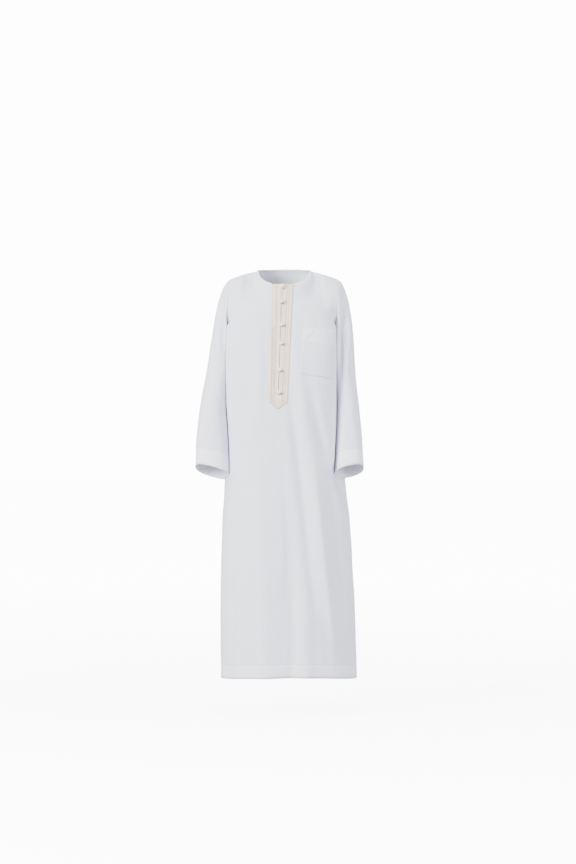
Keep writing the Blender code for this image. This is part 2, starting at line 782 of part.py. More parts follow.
def placket_heights(chest_heights):
    """Heights of the placket's rows: its tip, the closed end, the slit, and the chest's own rows."""
    tip = [PLACKET_TIP_Z + (PLACKET_CORNER_Z - PLACKET_TIP_Z) * step / PLACKET_TIP_ROWS
           for step in range(PLACKET_TIP_ROWS)]
    slit = [SLIT_END_Z + (UNDERARM_Z - SLIT_END_Z) * step / PLACKET_ROWS
            for step in range(PLACKET_ROWS)]
    return tip + [PLACKET_CORNER_Z] + slit + chest_heights + [NECK_FRONT[1] - PLACKET_TOP_STEP]


def placket_band(skin, chest_heights):
    """Rows of the placket laid on the front, its slit columns in the middle, and their walls."""
    rows = []
    walls = []
    for z in placket_heights(chest_heights):
        middle = middle_x(z)
        slit = slit_half(z)
        half = max(placket_half(z), slit + PLACKET_LEAST)
        rib_share = smooth_step((half - PLACKET_TIP_HALF) / PLACKET_RIB_FADE)
        row = []
        for side in (-1.0, 1.0):
            profile = PLACKET_PROFILE if side > 0.0 else tuple(reversed(PLACKET_PROFILE))
            for rib in profile:
                x = middle + side * (slit + (half - slit) * rib.share)
                row.append(on_front(skin, x, z, PLACKET_GAP))
                walls.append(PLACKET_FLAT + (rib.height - PLACKET_FLAT) * rib_share)
        rows.append(row)
    collar = []
    for point, below in zip(rows[-1], rows[-2]):
        collar.append(draw_back(point, point * 2.0 - below, BINDING_WIDTH + PLACKET_TOP_STEP))
    rows.append(collar)
    walls.extend(walls[-len(collar):])
    return rows, walls


def neck_loop(front, back):
    """Neck edge of both panels, from the slit round the wearer's left and the back to the right."""
    first = SHOULDER_COLUMNS
    half = SHOULDER_COLUMNS + NECK_COLUMNS["front"]
    front_right = front[-1][first:half + 1]
    front_left = front[-1][half + 1:len(front[-1]) - first]
    back_edge = back[-1][first:len(back[-1]) - first]
    return front_left + list(reversed(back_edge)) + front_right


def binding_rows(front, back):
    """Bound edge round the neck, between the two sides of the placket."""
    edge = neck_loop(front, back)
    total = sum((b - a).length for a, b in zip(edge, edge[1:]))
    start = PLACKET_HALF_TOP - SLIT_TOP_HALF - SEAM
    path = stretch(edge, start, total - start)
    kept = [path[0]]
    for point in path[1:]:
        if (point - kept[-1]).length > BINDING_LEAST_STEP:
            kept.append(point)
    rows = []
    for step in range(BINDING_STEPS + 1):
        s = step / BINDING_STEPS
        row = []
        for point in kept:
            way = neck_direction(point)
            inward = Vector((-point.x, -(point.y - NECK_SIDE_Y), 0.0)).normalized()
            out = Vector((-inward.x * way.z, -inward.y * way.z, inward.dot(way)))
            reach = BINDING_GAP + BINDING_WIDTH * s
            crown = 0.5 * (BINDING_WALL - WALL) + BINDING_CROWN * math.sin(math.pi * s)
            row.append(point + way * reach + out * crown)
        rows.append(row)
    return rows


def pocket_rows(skin):
    """Rows of the pocket from its low edge to its top edge."""
    rows = []
    for step in range(POCKET_DOWN + 1):
        s = step / POCKET_DOWN
        row = []
        for place in range(POCKET_ACROSS + 1):
            t = place / POCKET_ACROSS
            low = Vector(POCKET_CORNERS["low_right"]).lerp(Vector(POCKET_CORNERS["low_left"]), t)
            top = Vector(POCKET_CORNERS["top_right"]).lerp(Vector(POCKET_CORNERS["top_left"]), t)
            spot = low.lerp(top, s)
            row.append(on_front(skin, spot.x, spot.y, POCKET_GAP))
        rows.append(row)
    return rows


def underlap_rows(skin):
    """Strip behind the slit, inside the front panel."""
    rows = []
    low = SLIT_END_Z - UNDERLAP_END_STEP
    top = NECK_FRONT[1] - UNDERLAP_TOP_STEP
    for step in range(UNDERLAP_ROWS + 1):
        z = low + (top - low) * step / UNDERLAP_ROWS
        row = []
        for across in (-1.0, -0.5, 0.0, 0.5, 1.0):
            x = middle_x(z) + across * UNDERLAP_HALF
            row.append(on_front(skin, x, z, -(WALL + UNDERLAP_GAP)))
        rows.append(row)
    return rows


def add_cord(name, points, material, collection):
    curve = bpy.data.curves.new(name, "CURVE")
    curve.dimensions = "3D"
    curve.bevel_depth = CORD_RADIUS
    curve.bevel_resolution = 1
    curve.use_fill_caps = True
    spline = curve.splines.new("POLY")
    spline.points.add(len(points) - 1)
    for target, point in zip(spline.points, points):
        target.co = (point.x, point.y, point.z, 1.0)
    curve.materials.append(material)
    piece = bpy.data.objects.new(name, curve)
    collection.objects.link(piece)
    return piece


def add_button(number, button, skin, materials, collection):
    """A knotted ball over the placket with its loop on one side and its tail on the other."""
    cord_lift = PLACKET_GAP + PLACKET_CORD + CORD_GAP + CORD_RADIUS
    ball_lift = cord_lift + math.sqrt((BALL_RADIUS + CORD_RADIUS + SEAM) ** 2 - LOOP_HALF_WIDTH ** 2)
    x = middle_x(button.z) + button.shift
    centre = on_front(skin, x + 2.0 * SLIT_TOP_HALF, button.z, ball_lift)
    centre.x = x
    work = bmesh.new()
    bmesh.ops.create_uvsphere(work, u_segments=BALL_SEGMENTS, v_segments=BALL_RINGS, radius=BALL_RADIUS)
    ball = add_object(f"button_{number}", work, materials["cord"], collection)
    ball.location = centre

    def cord_point(px, pz):
        sideways = 0.0
        if abs(px - middle_x(pz)) < 2.0 * SLIT_TOP_HALF:
            sideways = 2.0 * SLIT_TOP_HALF
        point = on_front(skin, px + sideways, pz, cord_lift)
        point.x = px
        return point

    path = []
    for z_side in (1.0, -1.0):
        run = [cord_point(x - button.loop * part, button.z + z_side * LOOP_HALF_WIDTH)
               for part in (1.0, 0.5, 0.0)]
        if z_side < 0.0:
            run.reverse()
            for step in range(1, LOOP_BEND_STEPS):
                angle = math.pi * (0.5 - step / LOOP_BEND_STEPS)
                path.append(cord_point(
                    x + LOOP_HALF_WIDTH * math.cos(angle),
                    button.z + LOOP_HALF_WIDTH * math.sin(angle),
                ))
        path.extend(run)
    add_cord(f"loop_{number}", path, materials["cord"], collection)
    tail_start = x + LOOP_HALF_WIDTH + CORD_RADIUS + SEAM
    tail = [cord_point(tail_start + button.tail * part, button.z) for part in (0.0, 0.5, 1.0)]
    add_cord(f"tail_{number}", tail, materials["cord"], collection)


def build():
    clear_scene()
    collection = bpy.data.collections.new("Thobe robe")
    bpy.context.scene.collection.children.link(collection)
    materials = {
        "cloth": make_material("White cloth", CLOTH),
        "bright": make_material("Binding cloth", BRIGHT_CLOTH),
        "placket": make_material("Placket braid", PLACKET_CLOTH),
        "cord": make_material("Button cord", BUTTON_CORD),
    }
    front = panel_rows("front", FRONT_FOLDS)
    back = panel_rows("back", BACK_FOLDS)
    loops = {
        "right": (armhole_loop(front, back, 0), armhole_loop(front, back, 1)),
        "left": (armhole_loop(front, back, -1), armhole_loop(front, back, -2)),
    }
    skins = [skin_of(front), skin_of(back, flip=True)]
    open_shoulder_seams(front, back)
    open_side_seams(front, back)

    columns = len(front[0])
    slit_column = columns // 2 - 1
    slit_rows = [row[slit_column].z > SLIT_END_Z for row in front]

    def in_slit(row, column):
        return column == slit_column and slit_rows[row]

    panel = add_object("front", surface(front, skip=in_slit), materials["cloth"], collection)
    thicken(panel, HEM_WALL, walls=row_walls(front, (0, 1), HEM_WALL, WALL))
    panel = add_object("back", surface(back, flip=True), materials["cloth"], collection)
    thicken(panel, HEM_WALL, walls=row_walls(back, (0, 1), HEM_WALL, WALL))

    for arm, (loop, inner) in loops.items():
        rows = press_troughs(sleeve_rows(arm, loop, inner), arm)
        clear_of_body(rows, arm, skins)
        last = len(rows) - 1
        work = surface(rows, round_ring=True, flip=(arm == "right"))
        tube = add_object(f"sleeve_{arm}", work, materials["cloth"], collection)
        thicken(tube, HEM_WALL, walls=row_walls(rows, (last - 1, last), HEM_WALL, WALL))

    skin = skins[0]
    chest_heights = [row[slit_column].z for row in front[-UPPER_ROWS - 1:-1]]
    band, walls = placket_band(skin, chest_heights)
    band_column = len(band[0]) // 2 - 1

    def in_band_slit(row, column):
        return column == band_column and band[row][column].z > SLIT_END_Z - 0.0001

    piece = add_object("placket", surface(band, skip=in_band_slit), materials["placket"], collection)
    thicken(piece, PLACKET_CORD, outward=True, walls=walls)
    piece = add_object("placket_underlap", surface(underlap_rows(skin)), materials["bright"], collection)
    thicken(piece, UNDERLAP_WALL)

    bound = binding_rows(front, back)
    piece = add_object("neck_binding", surface(bound), materials["bright"], collection)
    thicken(piece, BINDING_WALL)

    patch = pocket_rows(skin)
    hem_start = round(POCKET_DOWN * (1.0 - POCKET_HEM_SHARE))
    hem_rows = range(hem_start, POCKET_DOWN + 1)
    piece = add_object("pocket", surface(patch), materials["cloth"], collection)
    walls = row_walls(patch, hem_rows, POCKET_HEM_WALL, POCKET_WALL)
    thicken(piece, POCKET_HEM_WALL, outward=True, walls=walls)

    for number, button in enumerate(BUTTONS, start=1):
        add_button(number, button, skin, materials, collection)


build()
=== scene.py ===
"""Looks of the child's thobe: thin cloth with creases, braid, knotted buttons, stitching, light.

The surfaces follow the same sizes and tables as the solids, on a finer grid. Metres, +Z up, front
towards -Y. Arm "right" is the wearer's right, at -X.
"""

import math
from collections import namedtuple

import bmesh
import bpy
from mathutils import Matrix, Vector, noise
from mathutils.bvhtree import BVHTree


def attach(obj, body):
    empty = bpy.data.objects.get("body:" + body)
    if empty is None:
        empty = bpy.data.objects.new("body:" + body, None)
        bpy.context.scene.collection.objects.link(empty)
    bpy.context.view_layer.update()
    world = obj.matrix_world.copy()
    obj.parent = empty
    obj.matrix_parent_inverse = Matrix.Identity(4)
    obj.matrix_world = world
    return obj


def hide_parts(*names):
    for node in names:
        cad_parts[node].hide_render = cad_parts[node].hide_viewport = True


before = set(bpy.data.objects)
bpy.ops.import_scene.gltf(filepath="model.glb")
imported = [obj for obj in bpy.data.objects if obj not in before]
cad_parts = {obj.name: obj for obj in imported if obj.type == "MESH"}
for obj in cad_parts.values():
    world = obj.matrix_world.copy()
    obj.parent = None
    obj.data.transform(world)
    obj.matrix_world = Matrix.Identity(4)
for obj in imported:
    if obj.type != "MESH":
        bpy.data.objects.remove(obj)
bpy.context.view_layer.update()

# Finer grid: how many steps stand for one step of the solids
DETAIL = 4

# Side on which an arm lies along X, and a distance that is outside the whole robe
ARM_SIGN = {"right": -1.0, "left": 1.0}
RAY_START = 1.0

# Cloth, seams and hems
CLOTH_WALL = 0.0009
SEAM_GROOVE = 0.0007
SEAM_EDGE = 0.003
HEM_GROOVE = 0.0006
HEM_SWELL = 0.0003
HEM_EDGE = 0.003
HEM_MARK = 0.5
GROOVE_WIDTH = 0.0014

# Seam under the arm: width as a share of the whole turn, and distance from the armhole where it starts
UNDER_SEAM_WIDTH = 0.006
UNDER_SEAM_START = 0.010

# Slow waviness of the cloth: size and depth of its waves
Wave = namedtuple("Wave", "size depth")
PANEL_WAVES = (Wave(0.060, 0.0009), Wave(0.021, 0.0003))
SLEEVE_WAVES = (Wave(0.045, 0.0008),)

# Small gathers beside a line of sewing: how far they reach from it and their depth
Gather = namedtuple("Gather", "reach depth")
HEM_GATHER = Gather(0.014, 0.00022)
ARMHOLE_GATHER = Gather(0.018, 0.00018)
CAP_GATHER = Gather(0.020, 0.00035)
CUFF_GATHER = Gather(0.012, 0.00022)
GATHER_RATES = (780.0, 1130.0)
SECOND_GATHER = 0.7
SECOND_GATHER_START = 1.3
HEM_GATHER_SPREAD = 0.35

# Degrees round a sleeve that count as one metre of its seam, for the gathers
CAP_GATHER_TURN = 800.0
CUFF_GATHER_TURN = 900.0

# Heights of the cut
UNDERARM_Z = -0.155
YOKE_Z = -0.092
HEM_Z = -1.006
HEM_SIDE_DROP = 0.011
HEM_DEPTH = 0.032
SIDE_Y = 0.002
PRESS_WIDTH = 0.034

# Shoulders, armholes and the section across the chest at armhole height
SHOULDER_Y = 0.004
SHOULDER_Z = -0.0245
SHOULDER_X = {"left": 0.1365, "right": -0.1370}
SHOULDER_CROWN = 0.002
YOKE_X = {"left": 0.1328, "right": -0.1395}
YOKE_EDGE_Y = {"front": -0.052, "back": 0.058}
YOKE_MIDDLE_Y = {"front": -0.089, "back": 0.094}
YOKE_CURVE = 2.4
ARMHOLE_SCOOP = Vector((0.0, 0.080, 0.010))

# Neck opening, measured on the edge of the panels
NECK_HALF_WIDTH = 0.0684
NECK_SIDE_Y = 0.003
NECK_SIDE_Z = -0.0031
NECK_FRONT = (0.0725, -0.0446)
NECK_BACK = (0.0500, 0.0008)
NECK_SQUARENESS = 0.85
NECK_PULL = 0.050
SHOULDER_PULL = 0.080
SHOULDER_LEAN = 0.10
NECK_LEAN_MIDDLE = Vector((0.62, 0.80))
NECK_LEAN_SIDE = Vector((0.85, 0.55))
BINDING_WIDTH = 0.0058
BINDING_WALL = 0.0026
BINDING_RING = 12
BINDING_SET_BACK = 0.0002
BINDING_SUNK = 0.0004
BINDING_RIPPLES = ((0.05, 900.0), (0.04, 1330.0))
BINDING_ROUND_ACROSS = 0.7
BINDING_ROUND_UP = 0.8

# Grid of the panels
SHOULDER_COLUMNS = 8 * DETAIL
NECK_COLUMNS = {"front": 10 * DETAIL, "back": 6 * DETAIL}
UPPER_ROWS = 12 * DETAIL
LOWER_ROWS = 100
RING_SAMPLES = 480
TANGENT_STEP = 0.012
NECK_TURN_START = 3 * DETAIL
SCOOP_COLUMNS = 5 * DETAIL
FOLD_EDGE_COLUMNS = 4 * DETAIL
FOLD_RISE = 0.45
FOLD_ROUNDING = 0.7
HEM_LINE_STEPS = (-0.004, -0.002, -0.001, 0.0, 0.001, 0.002, 0.004)
HEM_LINE_ROOM = 1.3

# Centre slit and its placket
SLIT_TOP_X = -0.0045
SLIT_TOP_HALF = 0.0026
SLIT_LOW_HALF = 0.0008
SLIT_CLOSED_Z = -0.140
SLIT_END_Z = -0.312
PLACKET_HALF_TOP = 0.0262
PLACKET_HALF_LOW = 0.0226
PLACKET_CORNER_Z = -0.331
PLACKET_TIP_Z = -0.3485
PLACKET_TIP_HALF = 0.0016
PLACKET_LEAST = 0.0008
PLACKET_ROW_STEP = 0.00080
PLACKET_ACROSS = 32
PLACKET_TOP_STEP = 0.0035
PLACKET_TIP_RISE = 0.0020
PLACKET_TIP_START = 0.2
PLACKET_TIP_BAND = 0.0012
PLACKET_EDGE_HEIGHT = 0.0002
PLACKET_GAP = 0.0005
PLACKET_SLOPE_ROWS = 3
UNDERLAP_HALF = 0.0100
UNDERLAP_ROWS = 60
UNDERLAP_COLUMNS = 24
UNDERLAP_END_STEP = 0.006
UNDERLAP_TOP_STEP = 0.004
UNDERLAP_DEPTH = 0.0012
UNDERLAP_SWELL = 0.0050
UNDERLAP_WIDENS = 1.6
UNDERLAP_ROUND = 0.70
UNDERLAP_PRESSED = 0.0060
UNDERLAP_PRESS = 0.5

# Patch pocket: corners on the chest as (x, z)
POCKET_CORNERS = {
    "top_right": (0.0489, -0.1477),
    "top_left": (0.1245, -0.1535),
    "low_left": (0.1220, -0.2740),
    "low_right": (0.0390, -0.2630),
}
POCKET_ACROSS = 48
POCKET_DOWN = 64

# How far the pocket stands off the chest, in metres
POCKET_LIFT = 0.0019
POCKET_LEAST = 0.0004
POCKET_GAPE = 0.0016

# Where the pocket rises, gapes and is sewn, in shares of its width or height
POCKET_HEM_SHARE = 0.30
POCKET_HEM_WIDTH = 0.012
POCKET_SIDE_RISE = 0.035
POCKET_LOW_RISE = 0.025
POCKET_GAPE_FROM = 0.55
POCKET_GAPE_ROUND = 0.7
POCKET_STITCH_INSET = 0.030
POCKET_STITCH_STEPS = 40

# Creases of the pocket, in shares of its size: place across at the low edge, slant, width, middle
# height and reach up, then height (minus: a trough)
PocketCrease = namedtuple("PocketCrease", "across slant width up reach height")
POCKET_CREASES = (
    PocketCrease(-0.80, 1.1, 0.09, 0.84, 0.11, 0.0012),
    PocketCrease(-0.56, 1.0, 0.09, 0.82, 0.11, -0.0010),
    PocketCrease(0.62, 0.3, 0.10, 0.40, 0.25, 0.0010),
    PocketCrease(0.36, -0.2, 0.08, 0.38, 0.25, -0.0008),
)

# Knotted buttons, their loops and tails
BALL_RADIUS = 0.0046
KNOT_TUBE = 0.00125
KNOT_LEADS = 3
KNOT_BIGHTS = 4
KNOT_REACH = 1.18
KNOT_WEAVE = 0.00030
KNOT_STEPS = 168
KNOT_SIDES = 8
KNOT_CORE = 0.9
KNOT_TURN = 0.9
CORD_RADIUS = 0.0011
CORD_SIDES = 10
CORD_PARTS = 6
CORD_STRANDS = 3
CORD_GROOVE = 0.14
CORD_LIFT = 0.0032
CORD_PITCH = 0.0036
LOOP_HALF_WIDTH = 0.0022
LOOP_BEND_STEPS = 9

# Sleeves
SLEEVE_CAP_ROWS = 6 * DETAIL
SLEEVE_ROWS = 11 * DETAIL
CUFF_HEM = 0.042
SLEEVE_CLEAR = 0.0010
CLEAR_ROWS = 3 * DETAIL
CAP_LEAVE_TOP = Vector((0.82, -0.57))
CAP_LEAVE_LOW = Vector((0.15, -1.00))
CAP_LEAVE_REACH = 0.6
CAP_ARRIVE_REACH = 0.9
CAP_EASE = 1.25

# Stitches
STITCH_LENGTH = 0.0021
STITCH_PITCH = 0.0030
STITCH_RADIUS = 0.00022
STITCH_LIFT = 0.0001
STITCH_SUNK = 1.2
STITCH_FLAT = 0.7
STITCH_SIDES = 5

Body = namedtuple("Body", "z right left front back middle corner press_right press_left press_y")
BODY = (
    Body(-0.155, -0.1530, 0.1390, -0.098, 0.098, -0.0082, 3.1, 0.028, 0.028, 0.002),
    Body(-0.250, -0.1525, 0.1375, -0.105, 0.098, -0.0115, 3.0, 0.016, 0.016, 0.000),
    Body(-0.360, -0.1490, 0.1390, -0.111, 0.102, -0.0150, 2.8, 0.011, 0.012, -0.012),
    Body(-0.450, -0.1460, 0.1460, -0.114, 0.111, -0.0130, 2.6, 0.005, 0.017, -0.030),
    Body(-0.510, -0.1490, 0.1535, -0.117, 0.116, -0.0090, 2.5, 0.006, 0.022, -0.040),
    Body(-0.620, -0.1540, 0.1645, -0.124, 0.124, 0.0000, 2.3, 0.000, 0.000, -0.040),
    Body(-0.720, -0.1575, 0.1710, -0.130, 0.130, 0.0060, 2.2, 0.000, 0.000, -0.040),
    Body(-0.860, -0.1590, 0.1785, -0.139, 0.138, 0.0100, 2.2, 0.000, 0.000, -0.040),
    Body(-1.020, -0.1575, 0.1825, -0.148, 0.146, 0.0125, 2.2, 0.000, 0.000, -0.040),
)

# Main folds: the path runs through three points (x, z), then width and height (minus: a trough)
Fold = namedtuple("Fold", "x_top z_top x_mid z_mid x_low z_low width height")
FRONT_FOLDS = (
    Fold(-0.057, -0.140, -0.060, -0.270, -0.070, -0.420, 0.017, 0.0050),
    Fold(-0.070, -0.330, -0.056, -0.700, -0.044, -1.060, 0.052, 0.0130),
    Fold(-0.072, -0.400, -0.058, -0.700, -0.042, -1.060, 0.020, 0.0060),
    Fold(-0.002, -0.420, 0.010, -0.700, 0.020, -1.060, 0.020, -0.0050),
    Fold(0.024, -0.170, 0.045, -0.330, 0.066, -0.480, 0.014, 0.0060),
    Fold(0.016, -0.320, 0.038, -0.480, 0.078, -0.860, 0.014, -0.0100),
    Fold(0.066, -0.440, 0.090, -0.675, 0.122, -0.960, 0.014, 0.0110),
    Fold(0.066, -0.290, 0.114, -0.520, 0.146, -0.900, 0.013, -0.0090),
    Fold(-0.118, -0.600, -0.112, -0.800, -0.108, -1.060, 0.020, 0.0050),
    Fold(0.048, -0.720, 0.052, -0.880, 0.056, -1.060, 0.020, 0.0070),
)
BACK_FOLDS = (
    Fold(0.060, -0.180, 0.068, -0.420, 0.080, -0.800, 0.016, -0.0070),
    Fold(-0.062, -0.220, -0.070, -0.480, -0.078, -0.860, 0.016, -0.0080),
    Fold(0.100, -0.400, 0.112, -0.700, 0.124, -1.060, 0.018, 0.0090),
    Fold(0.020, -0.260, 0.026, -0.600, 0.034, -1.060, 0.022, 0.0100),
    Fold(-0.020, -0.420, -0.022, -0.700, -0.024, -1.060, 0.017, -0.0080),
    Fold(-0.112, -0.480, -0.116, -0.740, -0.118, -1.060, 0.018, 0.0080),
    Fold(0.078, -0.640, 0.084, -0.840, 0.088, -1.060, 0.016, -0.0080),
)

# Creases that only the cloth has: both ends as (x, z) seen from the front, half width, height
# (minus: a trough), and how much steeper the +X flank is than the other
CREASE_FROM_SIDE = 0.020
CREASE_ROUNDING = 0.8
CREASE_WANDER = 0.25
CREASE_WANDER_TURNS = 5.0
CREASE_WANDER_START = 40.0
Crease = namedtuple("Crease", "x_top z_top x_low z_low width height skew")
FRONT_CREASES = (
    Crease(-0.112, -0.036, -0.072, -0.098, 0.0080, -0.0013, 0.2),
    Crease(-0.094, -0.030, -0.058, -0.084, 0.0060, 0.0010, -0.2),
    Crease(-0.128, -0.060, -0.104, -0.150, 0.0080, -0.0016, 0.3),
    Crease(-0.122, -0.100, -0.096, -0.235, 0.0090, 0.0013, 0.0),
    Crease(0.104, -0.034, 0.088, -0.110, 0.0080, -0.0012, -0.2),
    Crease(0.122, -0.062, 0.104, -0.140, 0.0070, 0.0011, 0.1),
    Crease(-0.046, -0.150, -0.042, -0.300, 0.0070, -0.0012, 0.3),
    Crease(0.030, -0.110, 0.044, -0.205, 0.0060, -0.0011, 0.0),
    Crease(0.044, -0.128, 0.046, -0.150, 0.0030, -0.0010, 0.2),
    Crease(0.083, -0.120, 0.084, -0.148, 0.0030, -0.0010, 0.2),
    Crease(-0.092, -0.250, -0.098, -0.430, 0.0100, -0.0016, 0.2),
    Crease(-0.116, -0.330, -0.110, -0.560, 0.0110, 0.0018, -0.2),
    Crease(0.088, -0.300, 0.098, -0.420, 0.0080, 0.0016, 0.2),
    Crease(-0.038, -0.350, -0.030, -0.520, 0.0080, 0.0012, 0.0),
    Crease(0.004, -0.375, 0.018, -0.540, 0.0080, 0.0016, -0.3),
    Crease(-0.010, -0.540, 0.002, -0.800, 0.0090, 0.0018, 0.2),
    Crease(-0.090, -0.520, -0.086, -0.760, 0.0090, -0.0020, 0.3),
    Crease(-0.124, -0.780, -0.120, -0.980, 0.0060, -0.0016, 0.2),
    Crease(-0.078, -0.820, -0.070, -1.020, 0.0090, -0.0018, 0.2),
    Crease(0.022, -0.640, 0.030, -0.960, 0.0090, -0.0018, -0.2),
    Crease(0.118, -0.540, 0.142, -0.790, 0.0060, 0.0022, 0.2),
    Crease(0.132, -0.600, 0.148, -0.905, 0.0060, -0.0018, 0.2),
    Crease(0.104, -0.760, 0.108, -1.010, 0.0100, -0.0020, -0.2),
    Crease(0.006, -0.830, 0.010, -1.020, 0.0080, 0.0015, 0.1),
)
BACK_CREASES = (
    Crease(-0.104, -0.040, -0.070, -0.120, 0.0090, -0.0014, 0.2),
    Crease(0.108, -0.040, 0.074, -0.115, 0.0090, -0.0013, -0.2),
    Crease(0.120, -0.075, 0.096, -0.190, 0.0080, 0.0013, 0.1),
    Crease(-0.122, -0.080, -0.098, -0.200, 0.0080, 0.0013, 0.1),
    Crease(-0.030, -0.130, -0.040, -0.330, 0.0100, -0.0014, 0.2),
    Crease(0.034, -0.120, 0.040, -0.280, 0.0090, 0.0012, 0.0),
    Crease(0.094, -0.230, 0.106, -0.420, 0.0090, -0.0018, 0.2),
    Crease(-0.096, -0.260, -0.104, -0.460, 0.0100, -0.0016, -0.2),
    Crease(-0.004, -0.360, 0.000, -0.600, 0.0090, 0.0016, 0.2),
    Crease(0.052, -0.430, 0.060, -0.700, 0.0090, 0.0018, -0.2),
    Crease(-0.050, -0.520, -0.048, -0.790, 0.0090, 0.0017, 0.1),
    Crease(-0.092, -0.640, -0.096, -0.930, 0.0080, -0.0019, 0.2),
    Crease(0.130, -0.620, 0.142, -0.900, 0.0070, -0.0018, 0.2),
    Crease(0.006, -0.760, 0.008, -1.015, 0.0090, -0.0018, 0.2),
    Crease(-0.132, -0.760, -0.136, -0.980, 0.0070, 0.0016, 0.2),
    Crease(0.056, -0.860, 0.060, -1.020, 0.0080, 0.0014, 0.0),
)

Sleeve = namedtuple("Sleeve", "z outer inner front back rise_out rise_front")
SLEEVES = {
    "right": (
        Sleeve(-0.190, 0.1840, 0.1225, -0.050, 0.056, 0.00, 0.00),
        Sleeve(-0.260, 0.1950, 0.1350, -0.051, 0.052, 0.00, 0.00),
        Sleeve(-0.340, 0.2095, 0.1415, -0.058, 0.040, 0.05, 0.02),
        Sleeve(-0.420, 0.2175, 0.1370, -0.071, 0.024, 0.15, 0.20),
        Sleeve(-0.5040, 0.2205, 0.1345, -0.083, 0.007, 0.27, 0.32),
    ),
    "left": (
        Sleeve(-0.190, 0.1755, 0.1135, -0.050, 0.056, 0.00, 0.00),
        Sleeve(-0.260, 0.1795, 0.1250, -0.051, 0.053, 0.00, 0.00),
        Sleeve(-0.340, 0.1875, 0.1300, -0.058, 0.042, 0.05, 0.02),
        Sleeve(-0.420, 0.1945, 0.1280, -0.070, 0.026, 0.13, 0.20),
        Sleeve(-0.5030, 0.1985, 0.1260, -0.081, 0.010, 0.21, 0.35),
    ),
}

# Folds that run down the front of each sleeve from the shoulder past the underarm
SLEEVE_TROUGHS = {
    "right": (
        Fold(-0.163, 0.010, -0.156, -0.100, -0.148, -0.220, 0.0080, -0.0090),
        Fold(-0.173, -0.020, -0.166, -0.110, -0.157, -0.230, 0.0080, 0.0020),
    ),
    "left": (
        Fold(0.156, 0.010, 0.150, -0.150, 0.135, -0.340, 0.0090, -0.0170),
        Fold(0.172, -0.040, 0.162, -0.165, 0.146, -0.340, 0.0080, 0.0045),
    ),
}
TROUGH_FROM_SEAM = 0.018
SLEEVE_SQUARENESS = 2.5

# Creases of a sleeve: angle round it in degrees (0 outer side, 90 front) and height of both ends,
# half width in degrees, height (minus: a trough)
Wrinkle = namedtuple("Wrinkle", "turn_top z_top turn_low z_low width height")
SLEEVE_FOLDS = (
    Wrinkle(70.0, -0.110, 50.0, -0.330, 20.0, -0.0040),
    Wrinkle(110.0, -0.220, 80.0, -0.460, 24.0, 0.0035),
    Wrinkle(300.0, -0.120, 320.0, -0.350, 22.0, -0.0045),
    Wrinkle(255.0, -0.260, 270.0, -0.520, 24.0, 0.0035),
)
SLEEVE_WRINKLES = {
    "right": (
        Wrinkle(64.0, -0.240, 118.0, -0.345, 9.0, -0.0016),
        Wrinkle(40.0, -0.290, 96.0, -0.400, 10.0, 0.0014),
        Wrinkle(20.0, -0.180, 36.0, -0.420, 10.0, -0.0014),
        Wrinkle(84.0, -0.360, 62.0, -0.500, 10.0, -0.0014),
        Wrinkle(350.0, -0.220, 330.0, -0.330, 10.0, -0.0013),
        Wrinkle(280.0, -0.230, 232.0, -0.350, 10.0, -0.0016),
        Wrinkle(310.0, -0.330, 286.0, -0.480, 11.0, 0.0015),
        Wrinkle(240.0, -0.350, 262.0, -0.490, 9.0, -0.0013),
    ),
    "left": (
        Wrinkle(70.0, -0.230, 112.0, -0.330, 9.0, -0.0015),
        Wrinkle(48.0, -0.270, 90.0, -0.390, 10.0, 0.0014),
        Wrinkle(30.0, -0.110, 34.0, -0.330, 9.0, -0.0016),
        Wrinkle(100.0, -0.330, 74.0, -0.490, 11.0, -0.0014),
        Wrinkle(346.0, -0.260, 322.0, -0.380, 10.0, -0.0013),
        Wrinkle(286.0, -0.210, 240.0, -0.330, 10.0, -0.0015),
        Wrinkle(300.0, -0.350, 282.0, -0.490, 10.0, 0.0014),
        Wrinkle(250.0, -0.360, 268.0, -0.500, 9.0, -0.0012),
    ),
}

# Cords along the placket, for the half on the wearer's right (-1) and left (1): share of the way
# from the slit to the outer edge, half width as a share, and height over the ground
Cord = namedtuple("Cord", "share width height")
PLACKET_CORDS = {
    -1.0: (
        Cord(0.07, 0.070, 0.0008),
        Cord(0.25, 0.040, 0.0005),
        Cord(0.93, 0.060, 0.0009),
    ),
    1.0: (
        Cord(0.07, 0.070, 0.0008),
        Cord(0.30, 0.040, 0.0005),
        Cord(0.56, 0.040, 0.0005),
        Cord(0.84, 0.050, 0.0009),
        Cord(0.95, 0.045, 0.0009),
    ),
}
PLACKET_GROUND = 0.0013
# Painted shade on the braid's low ground between the cords
GROUND_PAINTED_SHADE = 0.16
CORD_TWIST = 0.0030
TWIST_DEPTH = 0.20
# Painted shade in the grooves of the twist and at the edges of the cords
TWIST_PAINTED_SHADE = 0.08
CORD_EDGE_PAINTED_SHADE = 0.40

# Columns of eyelets in the braid: share of the way to the edge, spacing, radius. Their pit and rim
# are given in radii.
EYELET_DEPTH = 0.0008
EYELET_RIM_HEIGHT = 0.00025
EYELET_REACH = 2.2
EYELET_FLOOR = 0.5
EYELET_WALL = 0.8
EYELET_RIM = 1.45
EYELET_RIM_WIDTH = 0.4
Eyelets = namedtuple("Eyelets", "share pitch radius")
PLACKET_EYELETS = {
    -1.0: (Eyelets(0.42, 0.0062, 0.0016), Eyelets(0.57, 0.0042, 0.0008)),
    1.0: (Eyelets(0.44, 0.0062, 0.0015), Eyelets(0.70, 0.0042, 0.0008)),
}

